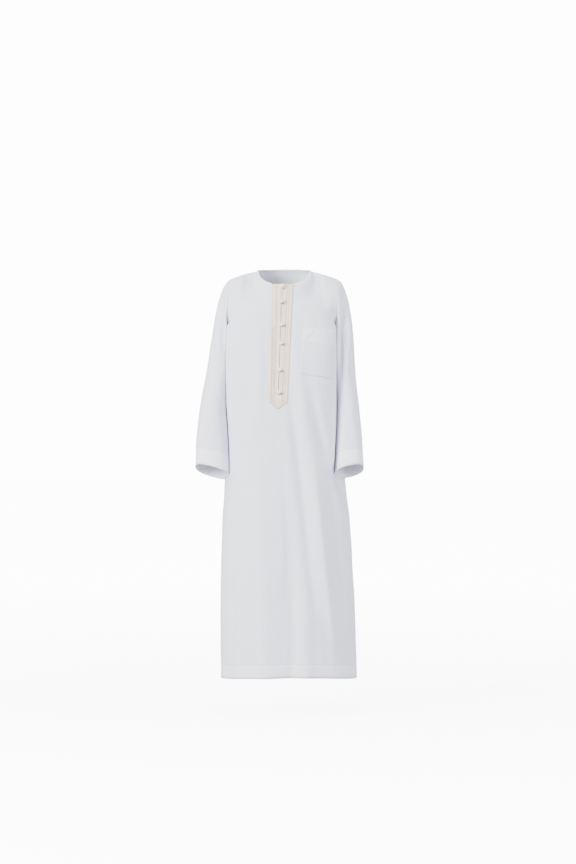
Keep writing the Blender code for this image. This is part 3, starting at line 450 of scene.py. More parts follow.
# Ladders of rungs: shares and heights between which they run, spacing, width of a rung, depth
Ladder = namedtuple("Ladder", "share_from share_to z_top z_low pitch rung depth")
PLACKET_LADDERS = {
    -1.0: (Ladder(0.66, 0.84, -0.150, -0.340, 0.0062, 0.0030, 1.0),),
    1.0: (Ladder(0.14, 0.78, -0.262, -0.292, 0.0045, 0.0024, 0.6),),
}
RUNG_HEIGHT = 0.00030
RUNG_SLOPE = 0.0007
LADDER_SLOPE = 0.0008
LADDER_DEPTH = 0.6
# Painted shade in the gaps between the rungs
LADDER_PAINTED_SHADE = 0.9

Button = namedtuple("Button", "z shift loop tail")
BUTTONS = (
    Button(-0.0480, 0.0010, 0.0080, 0.0080),
    Button(-0.0855, 0.0000, 0.0090, 0.0110),
    Button(-0.1411, 0.0020, 0.0210, 0.0130),
    Button(-0.1870, 0.0025, 0.0090, 0.0140),
    Button(-0.2526, 0.0012, 0.0080, 0.0120),
    Button(-0.3082, 0.0012, 0.0170, 0.0070),
)

# Painted shadow of each knot on the braid, over a shallow dent: how far to the wearer's left and below it,
# its size and the dent's depth
SHADOW_DENT_ASIDE = 0.0032
SHADOW_DENT_BELOW = 0.0040
SHADOW_DENT_SIZE = 0.0025
SHADOW_DENT_NARROW = 0.6
KNOT_DENT_DEPTH = 0.0006

# Colours of the materials, and the fineness of their threads and noise
WHITE = (1.0, 1.0, 1.0, 1.0)
SPECULAR = 0.25
FINE_DETAIL = 3.0
ClothLook = namedtuple("ClothLook", "light shade doubled weave sheen")
THOBE_LOOK = ClothLook((0.760, 0.772, 0.865, 1.0), (0.735, 0.750, 0.840, 1.0), (0.845, 0.857, 0.935, 1.0),
                       0.0007, 0.12)
BINDING_LOOK = ClothLook((0.930, 0.930, 0.950, 1.0), (0.905, 0.905, 0.930, 1.0), (0.930, 0.930, 0.950, 1.0),
                         0.0006, 0.20)
CLOTH_ROUGHNESS = 0.82
CLOTH_SHEEN_ROUGHNESS = 0.45
CLOUD_SCALE = 11.0
CLOUD_SHARE = 0.7
SLUB_SCALE = 260.0
THREAD_TINT = 0.10
THREAD_RELIEF = 0.6
BRAID_LIGHT = (0.930, 0.785, 0.610, 1.0)
# Colour of the painted shade and shadow in the braid
BRAID_PAINTED_SHADE = (0.150, 0.100, 0.065, 1.0)
BRAID_GROUND = (0.870, 0.720, 0.550, 1.0)
BRAID_ROUGHNESS = 0.88
BRAID_SHEEN = 0.15
BRAID_WEAVE = 0.0011
BRAID_RELIEF = 0.8
YARN_SCALE = 900.0
YARN_TINT = 0.6
CORD_COLOURS = ((0.900, 0.890, 0.890, 1.0), (0.820, 0.805, 0.800, 1.0))
STITCH_COLOURS = ((0.820, 0.815, 0.845, 1.0), (0.760, 0.760, 0.790, 1.0))
THREAD_ROUGHNESS = 0.7
THREAD_SHEEN = 0.2
FIBRE_SCALE = 1400.0

# Strength and depth of the fine relief
CLOTH_BUMP = (0.35, 0.00022)
BRAID_BUMP = (0.5, 0.00030)
THREAD_BUMP = (0.4, 0.00020)

# Stage, light and camera
FLOOR_Z = -1.105
FLOOR_HALF = 30.0
FLOOR_LIGHT = (0.90, 0.90, 0.905, 1.0)
FLOOR_SHADE = (0.92, 0.92, 0.92, 1.0)
FLOOR_ROUGHNESS = 0.9
FLOOR_CLOUD_SCALE = 2.0
FLOOR_GLOW_NEAR = 7.0
FLOOR_GLOW_FAR = 12.6
FLOOR_GLOW_FROM = 0.4
FLOOR_GLOW_TO = 5.0
AMBIENT_COLOUR = (0.975, 0.98, 1.0, 1.0)
AMBIENT = 0.95
BACKDROP = 14.0
CAMERA_PLACE = (0.010, -6.0, -0.405)
CAMERA_LENS = 100.0
CAMERA_REACH = 100.0
Lamp = namedtuple("Lamp", "name place aim size power colour")
LAMPS = (
    Lamp("Key", (-3.1, -2.9, 0.8), (0.0, 0.0, -0.4), 1.8, 520.0, (1.0, 0.995, 0.99)),
    Lamp("Fill", (3.4, -1.4, 0.2), (0.0, 0.0, -0.4), 2.4, 150.0, (0.97, 0.985, 1.0)),
    Lamp("Front", (0.6, -4.4, 1.2), (0.0, 0.0, -0.4), 2.4, 90.0, (1.0, 1.0, 1.0)),
    Lamp("Top", (0.0, 0.6, 2.6), (0.0, 0.0, -0.3), 2.4, 50.0, (1.0, 1.0, 1.0)),
)


def smooth_step(value):
    value = min(1.0, max(0.0, value))
    return value * value * (3.0 - 2.0 * value)


def bell(distance, width):
    return math.exp(-((distance / width) ** 2))


def hermite(start, end, leave, arrive, s):
    """Point on the cubic between two points with the given end tangents."""
    s2 = s * s
    s3 = s2 * s
    return (
        start * (2.0 * s3 - 3.0 * s2 + 1.0)
        + leave * (s3 - 2.0 * s2 + s)
        + end * (3.0 * s2 - 2.0 * s3)
        + arrive * (s3 - s2)
    )


def table_row(table, z):
    """Row of a table of sections at any height, smooth between the given rows."""
    z = min(table[0].z, max(table[-1].z, z))
    low = 0
    while low < len(table) - 2 and z < table[low + 1].z:
        low += 1
    before = table[max(0, low - 1)]
    first = table[low]
    second = table[low + 1]
    after = table[min(len(table) - 1, low + 2)]
    span = second.z - first.z
    s = (z - first.z) / span
    values = []
    for a, b, c, d in zip(before, first, second, after):
        slope_b = (c - a) / (second.z - before.z)
        slope_c = (d - b) / (after.z - first.z)
        values.append(hermite(b, c, slope_b * span, slope_c * span, s))
    return type(first)(*values)


def power(value, exponent):
    return math.copysign(abs(value) ** exponent, value)


def resample(points, count):
    """Points evenly spaced along a polyline, both ends included."""
    lengths = [0.0]
    for a, b in zip(points, points[1:]):
        lengths.append(lengths[-1] + (b - a).length)
    result = []
    index = 0
    for step in range(count + 1):
        target = lengths[-1] * step / count
        while index < len(points) - 2 and lengths[index + 1] < target:
            index += 1
        part = (target - lengths[index]) / (lengths[index + 1] - lengths[index])
        result.append(points[index].lerp(points[index + 1], part))
    return result


def slit_half(z):
    part = smooth_step((z - SLIT_CLOSED_Z) / (NECK_FRONT[1] - SLIT_CLOSED_Z))
    return SLIT_LOW_HALF + (SLIT_TOP_HALF - SLIT_LOW_HALF) * part


def middle_x(z):
    """Line down the middle of the front, followed by the slit and the placket."""
    if z < UNDERARM_Z:
        return table_row(BODY, z).middle
    chest = BODY[0].middle
    return chest + (SLIT_TOP_X - chest) * (z - UNDERARM_Z) / (NECK_FRONT[1] - UNDERARM_Z)


def split_columns(points, z, side):
    """Columns of one row: even on the back, and on each half of the front beside its slit."""
    count = SHOULDER_COLUMNS + NECK_COLUMNS[side]
    if side == "back":
        return resample(points, 2 * count)
    middle = middle_x(z)
    half = slit_half(z)
    right = [p for p in points if p.x < middle - half]
    left = [p for p in points if p.x > middle + half]
    edge_y = right[-1].y
    right.append(Vector((middle - half, edge_y, right[-1].z)))
    left.insert(0, Vector((middle + half, edge_y, left[0].z)))
    return resample(right, count) + resample(left, count)


def body_ring(z, side):
    """Half of the body's section at one height, from the wearer's right side to the left one."""
    row = table_row(BODY, z)
    middle = 0.5 * (row.left + row.right)
    half = 0.5 * (row.left - row.right)
    depth = (row.front if side == "front" else row.back) - SIDE_Y
    hem_share = smooth_step((UNDERARM_Z - z) / (UNDERARM_Z - HEM_Z)) ** 2
    points = []
    for step in range(RING_SAMPLES + 1):
        angle = math.pi * step / RING_SAMPLES
        across = -power(math.cos(angle), 2.0 / row.corner)
        out = power(math.sin(angle), 2.0 / row.corner)
        y = SIDE_Y + depth * out
        press = max(0.0, row.press_right if across < 0.0 else row.press_left)
        press *= bell(y - row.press_y, PRESS_WIDTH)
        x = middle + half * across - math.copysign(press, across)
        drop = HEM_SIDE_DROP * hem_share * math.cos(angle) ** 2
        points.append(Vector((x, y, z - drop)))
    return split_columns(points, z, side)


def yoke_ring(side):
    """Section across the chest or the shoulder blades at armhole height."""
    edge = YOKE_EDGE_Y[side]
    bulge = YOKE_MIDDLE_Y[side] - edge
    middle = 0.5 * (YOKE_X["left"] + YOKE_X["right"])
    half = 0.5 * (YOKE_X["left"] - YOKE_X["right"])
    points = []
    for step in range(RING_SAMPLES + 1):
        across = -1.0 + 2.0 * step / RING_SAMPLES
        y = edge + bulge * (1.0 - abs(across) ** YOKE_CURVE)
        points.append(Vector((middle + half * across, y, YOKE_Z)))
    return split_columns(points, YOKE_Z, side)


def neck_point(angle, side):
    """Point of the neck edge; the angle runs from the wearer's right to the left side."""
    depth, end_z = NECK_FRONT if side == "front" else NECK_BACK
    sign = -1.0 if side == "front" else 1.0
    out = math.sin(angle)
    share = out ** NECK_SQUARENESS if out > 0.0 else 0.0
    return Vector((
        -NECK_HALF_WIDTH * math.cos(angle),
        NECK_SIDE_Y + sign * depth * out,
        NECK_SIDE_Z + (end_z - NECK_SIDE_Z) * share,
    ))


def neck_direction(point):
    """Way in which the cloth points at the neck edge: inward and up."""
    inward = Vector((-point.x, -(point.y - NECK_SIDE_Y), 0.0)).normalized()
    lean = NECK_LEAN_MIDDLE.lerp(NECK_LEAN_SIDE, abs(inward.x))
    return (inward * lean.x + Vector((0.0, 0.0, lean.y))).normalized()


def neck_line(arc, side):
    """Neck edge of one panel, evenly spaced, with the slit left out of the front."""
    count = NECK_COLUMNS[side]
    if side == "back":
        return resample(arc, 2 * count)
    middle = middle_x(NECK_FRONT[1])
    right = [p for p in arc if p.x < middle - SLIT_TOP_HALF]
    left = [p for p in arc if p.x > middle + SLIT_TOP_HALF]
    right.append(Vector((middle - SLIT_TOP_HALF, right[-1].y, right[-1].z)))
    left.insert(0, Vector((middle + SLIT_TOP_HALF, left[0].y, left[0].z)))
    return resample(right, count) + resample(left, count)


def top_edge(side):
    """Upper edge of a panel: shoulder seam, half of the neck, and shoulder seam."""
    shoulders = {}
    for arm in ("right", "left"):
        tip = Vector((SHOULDER_X[arm], SHOULDER_Y, SHOULDER_Z))
        neck = neck_point(0.0 if arm == "right" else math.pi, side)
        line = []
        for step in range(SHOULDER_COLUMNS + 1):
            s = step / SHOULDER_COLUMNS
            point = tip.lerp(neck, s)
            point.z += SHOULDER_CROWN * 4.0 * s * (1.0 - s)
            line.append(point)
        shoulders[arm] = line
    arc = [neck_point(math.pi * step / RING_SAMPLES, side) for step in range(RING_SAMPLES + 1)]
    return shoulders["right"][:-1] + neck_line(arc, side) + list(reversed(shoulders["left"]))[1:]


def neck_share(from_end):
    """How far a column near the shoulder already turns towards the neck."""
    return smooth_step((from_end - NECK_TURN_START) / (SHOULDER_COLUMNS - NECK_TURN_START))


def top_pulls(edge, side):
    """Tangents with which the columns reach the upper edge."""
    over = Vector((0.0, 1.0 if side == "front" else -1.0, SHOULDER_LEAN)).normalized()
    pulls = []
    last = len(edge) - 1
    for index, point in enumerate(edge):
        share = neck_share(min(index, last - index))
        way = over.lerp(neck_direction(point), share).normalized()
        pulls.append(way * (SHOULDER_PULL + (NECK_PULL - SHOULDER_PULL) * share))
    return pulls


def fold_height(folds, x, z):
    """Sum of the main folds' heights at one place of a panel."""
    total = 0.0
    for fold in folds:
        if not fold.z_low < z < fold.z_top:
            continue
        if z > fold.z_mid:
            s = (fold.z_top - z) / (fold.z_top - fold.z_mid)
            centre = fold.x_top + (fold.x_mid - fold.x_top) * s
            share = 0.5 * s
        else:
            s = (fold.z_mid - z) / (fold.z_mid - fold.z_low)
            centre = fold.x_mid + (fold.x_low - fold.x_mid) * s
            share = 0.5 + 0.5 * s
        fade = math.sin(math.pi * min(1.0, max(0.0, share))) ** FOLD_ROUNDING
        if fold.z_low < HEM_Z:
            fade = smooth_step(share / FOLD_RISE)
        total += fold.height * fade * bell(x - centre, fold.width)
    return total


def press_folds(rows, folds, side):
    """Move the points of a panel out or in along its folds, not at the side seams."""
    sign = -1.0 if side == "front" else 1.0
    pressed = []
    for row in rows:
        moved = []
        last = len(row) - 1
        for index, point in enumerate(row):
            ahead = row[min(last, index + 1)] - row[max(0, index - 1)]
            out = Vector((-sign * ahead.y, sign * ahead.x, 0.0)).normalized()
            edge_share = smooth_step(min(index, last - index) / FOLD_EDGE_COLUMNS)
            moved.append(point + out * (fold_height(folds, point.x, point.z) * edge_share))
        pressed.append(moved)
    return pressed


def with_line(heights, line):
    """Heights with a few more of them close to a stitched line."""
    near = max(abs(step) for step in HEM_LINE_STEPS)
    kept = [z for z in heights if abs(z - line) > HEM_LINE_ROOM * near]
    return sorted(kept + [line + step for step in HEM_LINE_STEPS])


def lower_heights():
    """Heights of the rows from the hem up to the underarm."""
    even = [HEM_Z + (UNDERARM_Z - HEM_Z) * step / LOWER_ROWS for step in range(LOWER_ROWS + 1)]
    return with_line(even, HEM_Z + HEM_DEPTH)


def side_profile_x(chest, at_end, y):
    """Distance to the side of the chest section at one depth, near one of its ends."""
    line = list(reversed(chest)) if at_end else chest
    for a, b in zip(line, line[1:]):
        if min(a.y, b.y) <= y <= max(a.y, b.y):
            return a.x + (b.x - a.x) * (y - a.y) / (b.y - a.y)
    return line[0].x


def panel_rows(side, folds):
    """All rows of a panel from the hem to the neck, each from the wearer's right to the left."""
    rows = [body_ring(z, side) for z in lower_heights()]
    below = body_ring(UNDERARM_Z - TANGENT_STEP, side)
    chest = rows[-1]
    yoke = yoke_ring(side)
    top = top_edge(side)
    pulls = top_pulls(top, side)
    scoop = ARMHOLE_SCOOP.copy()
    if side == "front":
        scoop.y = -scoop.y
    half_rows = UPPER_ROWS // 2
    upper = [[] for row in range(UPPER_ROWS)]
    last = len(chest) - 1
    for index, low in enumerate(chest):
        rise = yoke[index].z - low.z
        leave = (low - below[index]) * (rise / TANGENT_STEP)
        near_side = max(0.0, 1.0 - min(index, last - index) / SCOOP_COLUMNS)
        leave = leave.lerp(scoop, near_side ** 2)
        through = (top[index] - low) * 0.5
        for step in range(1, half_rows + 1):
            s = step / half_rows
            point = hermite(low, yoke[index], leave, through, s)
            if near_side > 0.0:
                beside = side_profile_x(chest, index > last - index, point.y)
                beside += (yoke[index].x - beside) * s * s
                point.x += (beside - point.x) * near_side
            upper[step - 1].append(point)
            upper[half_rows + step - 1].append(hermite(yoke[index], top[index], through, pulls[index], s))
    return press_folds(rows + upper, folds, side)


def grid_normals(rows, round_ring=False):
    """Normals of a grid of points, out of the cloth when rows rise and columns run to the left."""
    normals = []
    last_row = len(rows) - 1
    for number, row in enumerate(rows):
        count = len(row)
        line = []
        for index in range(count):
            if round_ring:
                along = row[(index + 1) % count] - row[index - 1]
            else:
                along = row[min(count - 1, index + 1)] - row[max(0, index - 1)]
            up = rows[min(last_row, number + 1)][index] - rows[max(0, number - 1)][index]
            line.append(along.cross(up).normalized())
        normals.append(line)
    return normals


def crease_height(creases, x, z):
    """Sum of the small creases at one place, each fading out towards its ends."""
    total = 0.0
    for crease in creases:
        run_x = crease.x_low - crease.x_top
        run_z = crease.z_low - crease.z_top
        length = math.hypot(run_x, run_z)
        from_x = x - crease.x_top
        from_z = z - crease.z_top
        share = (from_x * run_x + from_z * run_z) / (length * length)
        if not 0.0 < share < 1.0:
            continue
        away = (from_x * run_z - from_z * run_x) / length
        wander = math.sin(CREASE_WANDER_TURNS * share + CREASE_WANDER_START * crease.x_top)
        away += CREASE_WANDER * crease.width * wander
        width = crease.width * (1.0 + math.copysign(crease.skew, away))
        total += crease.height * math.sin(math.pi * share) ** CREASE_ROUNDING * bell(away, width)
    return total


def unevenness(point, waves):
    """Slow, soft waviness of the cloth."""
    return sum(wave.depth * noise.noise(point / wave.size) for wave in waves)


def pucker(distance, along, gather):
    """Height of the small gathers beside a line of sewing."""
    first, second = GATHER_RATES
    ripple = math.sin(along * first) + SECOND_GATHER * math.sin(along * second + SECOND_GATHER_START)
    return gather.depth * ripple * max(0.0, 1.0 - distance / gather.reach) ** 2


def moved_out(rows, normals, height_at):
    """Rows of points moved along their normals by the height that is found for each of them."""
    return [
        [point + normal * height_at(number, index, point) for index, (point, normal) in enumerate(pairs)]
        for number, pairs in enumerate(list(zip(row, line)) for row, line in zip(rows, normals))
    ]


def finish_panel(rows, side, creases):
    """Lay the small creases, the hem line, the seam grooves and the gathers into a panel."""
    sign = 1.0 if side == "front" else -1.0
    low_count = len(rows) - UPPER_ROWS

    def height_at(number, index, point):
        row = rows[number]
        from_side = min((point - row[0]).length, (point - row[-1]).length)
        height = crease_height(creases, point.x, point.z) * smooth_step(from_side / CREASE_FROM_SIDE)
        height += unevenness(point, PANEL_WAVES)
        if number < low_count:
            over_line = point.z - rows[0][index].z - HEM_DEPTH
            height -= HEM_GROOVE * bell(over_line, GROOVE_WIDTH)
            height += HEM_SWELL * smooth_step(-over_line / HEM_EDGE)
            height += pucker(abs(over_line), HEM_GATHER_SPREAD * (point.x + point.y), HEM_GATHER)
        else:
            height += pucker(from_side, point.z, ARMHOLE_GATHER)
        height -= SEAM_GROOVE * bell(from_side, GROOVE_WIDTH)
        return sign * height

    return moved_out(rows, grid_normals(rows), height_at)


def wrinkle_height(wrinkles, turn, z):
    total = 0.0
    for wrinkle in wrinkles:
        if not wrinkle.z_low < z < wrinkle.z_top:
            continue
        s = (wrinkle.z_top - z) / (wrinkle.z_top - wrinkle.z_low)
        centre = wrinkle.turn_top + (wrinkle.turn_low - wrinkle.turn_top) * s
        away = (turn - centre + 180.0) % 360.0 - 180.0
        total += wrinkle.height * math.sin(math.pi * s) * bell(away, wrinkle.width)
    return total


def sleeve_ring(arm, z, count):
    """One ring of a sleeve: outer side, front, inner side, back."""
    sign = ARM_SIGN[arm]
    row = table_row(SLEEVES[arm], z)
    middle = 0.5 * (row.outer + row.inner)
    half = 0.5 * (row.outer - row.inner)
    centre_y = 0.5 * (row.front + row.back)
    depth = 0.5 * (row.back - row.front)
    ring = []
    for step in range(count):
        turn = 2.0 * math.pi * step / count
        swell = wrinkle_height(SLEEVE_FOLDS, math.degrees(turn), z)
        across = power(math.cos(turn), 2.0 / SLEEVE_SQUARENESS) * (half + swell)
        along = -power(math.sin(turn), 2.0 / SLEEVE_SQUARENESS) * (depth + swell)
        height = z + row.rise_out * across - row.rise_front * along
        ring.append(Vector((sign * (middle + across), centre_y + along, height)))
    return ring


def clear_of_body(rows, arm, skins):
    """Move a sleeve's points sideways until they are just clear of the body's side."""
    sign = ARM_SIGN[arm]
    inward = Vector((-sign, 0.0, 0.0))
    for number, row in enumerate(rows[1:], start=1):
        clear = SLEEVE_CLEAR * min(1.0, number / CLEAR_ROWS)
        for point in row:
            for skin in skins:
                start = Vector((sign * RAY_START, point.y, point.z))
                hit, normal, index, distance = skin.ray_cast(start, inward)
                if hit and hit.x * sign > 0.0:
                    point.x = sign * max(point.x * sign, hit.x * sign + clear)


def armhole_loop(front, back, edge):
    """Armhole from the shoulder down the front to the underarm and up the back."""
    down = [row[edge] for row in reversed(front[-UPPER_ROWS - 1:])]
    up = [row[edge] for row in back[-UPPER_ROWS:-1]]
    return down + up


def close_seams(front, back):
    """Bring the edges of both panels together along the side seams and the shoulder seams."""
    top = len(front) - 1
    spots = [(number, edge) for number in range(len(front) - UPPER_ROWS) for edge in (0, -1)]
    for column in range(SHOULDER_COLUMNS + 1):
        spots += [(top, column), (top, -1 - column)]
    for number, column in spots:
        middle = 0.5 * (front[number][column] + back[number][column])
        front[number][column] = middle
        back[number][column] = middle.copy()


def sleeve_rows(arm, loop):
    """Rows of a sleeve from the armhole to the cuff."""
    sign = ARM_SIGN[arm]
    table = SLEEVES[arm]
    count = len(loop)
    first = sleeve_ring(arm, table[0].z, count)
    second = sleeve_ring(arm, table[0].z - TANGENT_STEP, count)
    rows = []
    for step in range(SLEEVE_CAP_ROWS + 1):
        s = (step / SLEEVE_CAP_ROWS) ** CAP_EASE
        ring = []
        for index, start in enumerate(loop):
            end = first[index]
            upper = 0.5 + 0.5 * math.cos(2.0 * math.pi * index / count)
            lean = CAP_LEAVE_LOW.lerp(CAP_LEAVE_TOP, upper)
            leave = Vector((sign * lean.x, 0.0, lean.y)).normalized()
            reach = (end - start).length
            arrive = (second[index] - end).normalized() * (CAP_ARRIVE_REACH * reach)
            ring.append(hermite(start, end, leave * (CAP_LEAVE_REACH * reach), arrive, s))
        rows.append(ring)
    low = table[-1].z
    even = [low + (table[0].z - low) * step / SLEEVE_ROWS for step in range(SLEEVE_ROWS)]
    for z in reversed(with_line(even, low + CUFF_HEM)):
        rows.append(sleeve_ring(arm, z, count))
    return rows


def press_troughs(rows, arm):
    """Lay the deep folds into the front of a sleeve, away from the armhole seam."""
    sign = ARM_SIGN[arm]
    pressed = [rows[0]]
    for number in range(1, len(rows)):
        row = rows[number]
        above = rows[number - 1]
        moved = []
        for index, point in enumerate(row):
            along = row[(index + 1) % len(row)] - row[index - 1]
            normal = (point - above[index]).cross(along).normalized() * -sign
            front_share = smooth_step(-normal.y)
            seam_share = smooth_step((point - rows[0][index]).length / TROUGH_FROM_SEAM)
            height = fold_height(SLEEVE_TROUGHS[arm], point.x, point.z)
            moved.append(point + normal * (height * front_share * seam_share))
        pressed.append(moved)
    return pressed


def finish_sleeve(rows, arm):
    """Lay wrinkles, cuff line, seam grooves and gathers into a sleeve."""
    count = len(rows[0])
    levels = [sum(point.z for point in row) / count for row in rows]
    hem_line = SLEEVES[arm][-1].z + CUFF_HEM

    def height_at(number, index, point):
        over_line = levels[number] - hem_line
        turn = 360.0 * index / count
        from_top = (point - rows[0][index]).length
        height = wrinkle_height(SLEEVE_WRINKLES[arm], turn, levels[number])
        height += unevenness(point, SLEEVE_WAVES)
        height -= HEM_GROOVE * bell(over_line, GROOVE_WIDTH)
        height -= SEAM_GROOVE * bell(from_top, GROOVE_WIDTH)
        height += pucker(from_top, turn / CAP_GATHER_TURN, CAP_GATHER) * smooth_step(from_top / SEAM_EDGE)
        height += pucker(abs(over_line), turn / CUFF_GATHER_TURN, CUFF_GATHER)
        under = abs(turn - 180.0) / 360.0
        height -= SEAM_GROOVE * bell(under, UNDER_SEAM_WIDTH) * smooth_step(from_top / UNDER_SEAM_START)
        return ARM_SIGN[arm] * height

    return moved_out(rows, grid_normals(rows, round_ring=True), height_at)


def grid_mesh(name, rows, round_ring=False, skip=None, flip=False, marks=None):
    """Mesh through rows of points, with its size in metres as its UV map and marks for its material."""
    work = bmesh.new()
    layer = work.loops.layers.uv.new("Cloth")
    mark = work.verts.layers.float.new("Mark") if marks else None
    grid = [[work.verts.new(point) for point in row] for row in rows]
    if marks:
        for verts, values in zip(grid, marks):
            for vert, value in zip(verts, values):
                vert[mark] = value
    columns = len(rows[0])
    steps = columns if round_ring else columns - 1
    middle = columns // 2
    across = []
    for row in rows:
        line = [0.0]
        for a, b in zip(row, row[1:] + row[:1]):
            line.append(line[-1] + (b - a).length)
        across.append([value - line[middle] for value in line])
    up = [0.0]
    for low, high in zip(rows, rows[1:]):
        up.append(up[-1] + (high[middle] - low[middle]).length)
    for low in range(len(rows) - 1):
        high = low + 1
        for column in range(steps):
            if skip and skip(low, column):
                continue
            after = (column + 1) % columns
            corners = [(low, column), (low, after), (high, after), (high, column)]
            places = [(across[low][column], up[low]), (across[low][column + 1], up[low]),
                      (across[high][column + 1], up[high]), (across[high][column], up[high])]
            if flip:
                corners.reverse()
                places.reverse()
            face = work.faces.new([grid[a][b] for a, b in corners])
            face.smooth = True
            for loop, place in zip(face.loops, places):
                loop[layer].uv = place
    mesh = bpy.data.meshes.new(name)
    work.to_mesh(mesh)
    work.free()
    return mesh


def add_piece(name, mesh, material, nodes=()):
    """Object of a mesh that rides with the part and stands for CAD nodes."""
    mesh.materials.append(material)
    piece = bpy.data.objects.new(name, mesh)
    bpy.context.scene.collection.objects.link(piece)
    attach(piece, "root")
    if nodes:
        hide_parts(*nodes)
    return piece


def row_marks(rows, first, last, share=1.0):
    """Marks of the doubled cloth in a turned hem, which reaches from one row to another."""
    return [[share * (first <= number <= last)] * len(row) for number, row in enumerate(rows)]


def thicken(piece, wall):
    solid = piece.modifiers.new("Cloth wall", "SOLIDIFY")
    solid.thickness = wall
    solid.offset = -1.0


def skin_of(rows, flip=False):
    """Search tree of a surface, on which other pieces are laid."""
    work = bmesh.new()
    grid = [[work.verts.new(point) for point in row] for row in rows]
    for low, high in zip(grid, grid[1:]):
        for column in range(len(low) - 1):
            corners = [low[column], low[column + 1], high[column + 1], high[column]]
            if flip:
                corners.reverse()
            work.faces.new(corners)
    work.normal_update()
    tree = BVHTree.FromBMesh(work)
    work.free()
    return tree


def on_front(skin, x, z, lift):
    """Place on the front panel, seen straight from the front, lifted off it."""
    hit, normal, index, distance = skin.ray_cast(Vector((x, -RAY_START, z)), Vector((0.0, 1.0, 0.0)))
    return hit + normal * lift


def placket_half(z):
    if z < PLACKET_CORNER_Z:
        part = (z - PLACKET_TIP_Z) / (PLACKET_CORNER_Z - PLACKET_TIP_Z)
        return PLACKET_TIP_HALF + (PLACKET_HALF_LOW - PLACKET_TIP_HALF) * part
    part = (z - PLACKET_CORNER_Z) / (NECK_FRONT[1] - PLACKET_CORNER_Z)
    return PLACKET_HALF_LOW + (PLACKET_HALF_TOP - PLACKET_HALF_LOW) * part


def braid(share, half, z, side):
    """Height over the panel and painted shade of the braid at one place of the placket."""
    height = PLACKET_GROUND
    # painted shade: the low ground between the cords, the grooves of the twist, the cord edges, the eyelet
    # pits and the ladder gaps are darker
    painted_shade = GROUND_PAINTED_SHADE
    for cord in PLACKET_CORDS[side]:
        away = abs(share - cord.share) / cord.width
        if away < 1.0:
            lay = z / CORD_TWIST + 0.5 * (share - cord.share) / cord.width
            twist = 0.5 + 0.5 * math.cos(2.0 * math.pi * lay)
            height += cord.height * math.sqrt(1.0 - away * away) * (1.0 - TWIST_DEPTH * (1.0 - twist))
            painted_shade = TWIST_PAINTED_SHADE * (1.0 - twist) + CORD_EDGE_PAINTED_SHADE * away ** 4
    for column in PLACKET_EYELETS[side]:
        along = (z / column.pitch + 0.5) % 1.0 - 0.5
        place = math.hypot(along * column.pitch, (share - column.share) * half)
        if place < EYELET_REACH * column.radius:
            radii = place / column.radius
            pit = 1.0 - smooth_step((radii - EYELET_FLOOR) / EYELET_WALL)
            rim = bell(radii - EYELET_RIM, EYELET_RIM_WIDTH)
            height += EYELET_RIM_HEIGHT * rim - EYELET_DEPTH * pit
            # painted shade fills the pit of the eyelet
            painted_shade = max(painted_shade, pit)
    for ladder in PLACKET_LADDERS[side]:
        if not (ladder.share_from < share < ladder.share_to and ladder.z_low < z < ladder.z_top):
            continue
        edge = min(share - ladder.share_from, ladder.share_to - share) * half
        edge = min(edge, z - ladder.z_low, ladder.z_top - z)
        along = abs((z / ladder.pitch) % 1.0 - 0.5) * ladder.pitch
        gap = smooth_step((0.5 * (ladder.pitch - ladder.rung) - along) / RUNG_SLOPE)
        gap *= ladder.depth * smooth_step(edge / LADDER_SLOPE)
        height += RUNG_HEIGHT * (1.0 - gap) - LADDER_DEPTH * EYELET_DEPTH * gap
        painted_shade = max(painted_shade, LADDER_PAINTED_SHADE * gap)
    return height, painted_shade


def knot_dent_and_painted_shadow(x, z):
    """How far one place of the braid lies in the painted shadow and dent beside a knot, from 0 to 1."""
    deepest = 0.0
    for button in BUTTONS:
        from_x = x - middle_x(button.z) - button.shift - SHADOW_DENT_ASIDE
        from_z = z - button.z + SHADOW_DENT_BELOW
        deepest = max(deepest, bell(math.hypot(SHADOW_DENT_NARROW * from_x, from_z), SHADOW_DENT_SIZE))
    return deepest


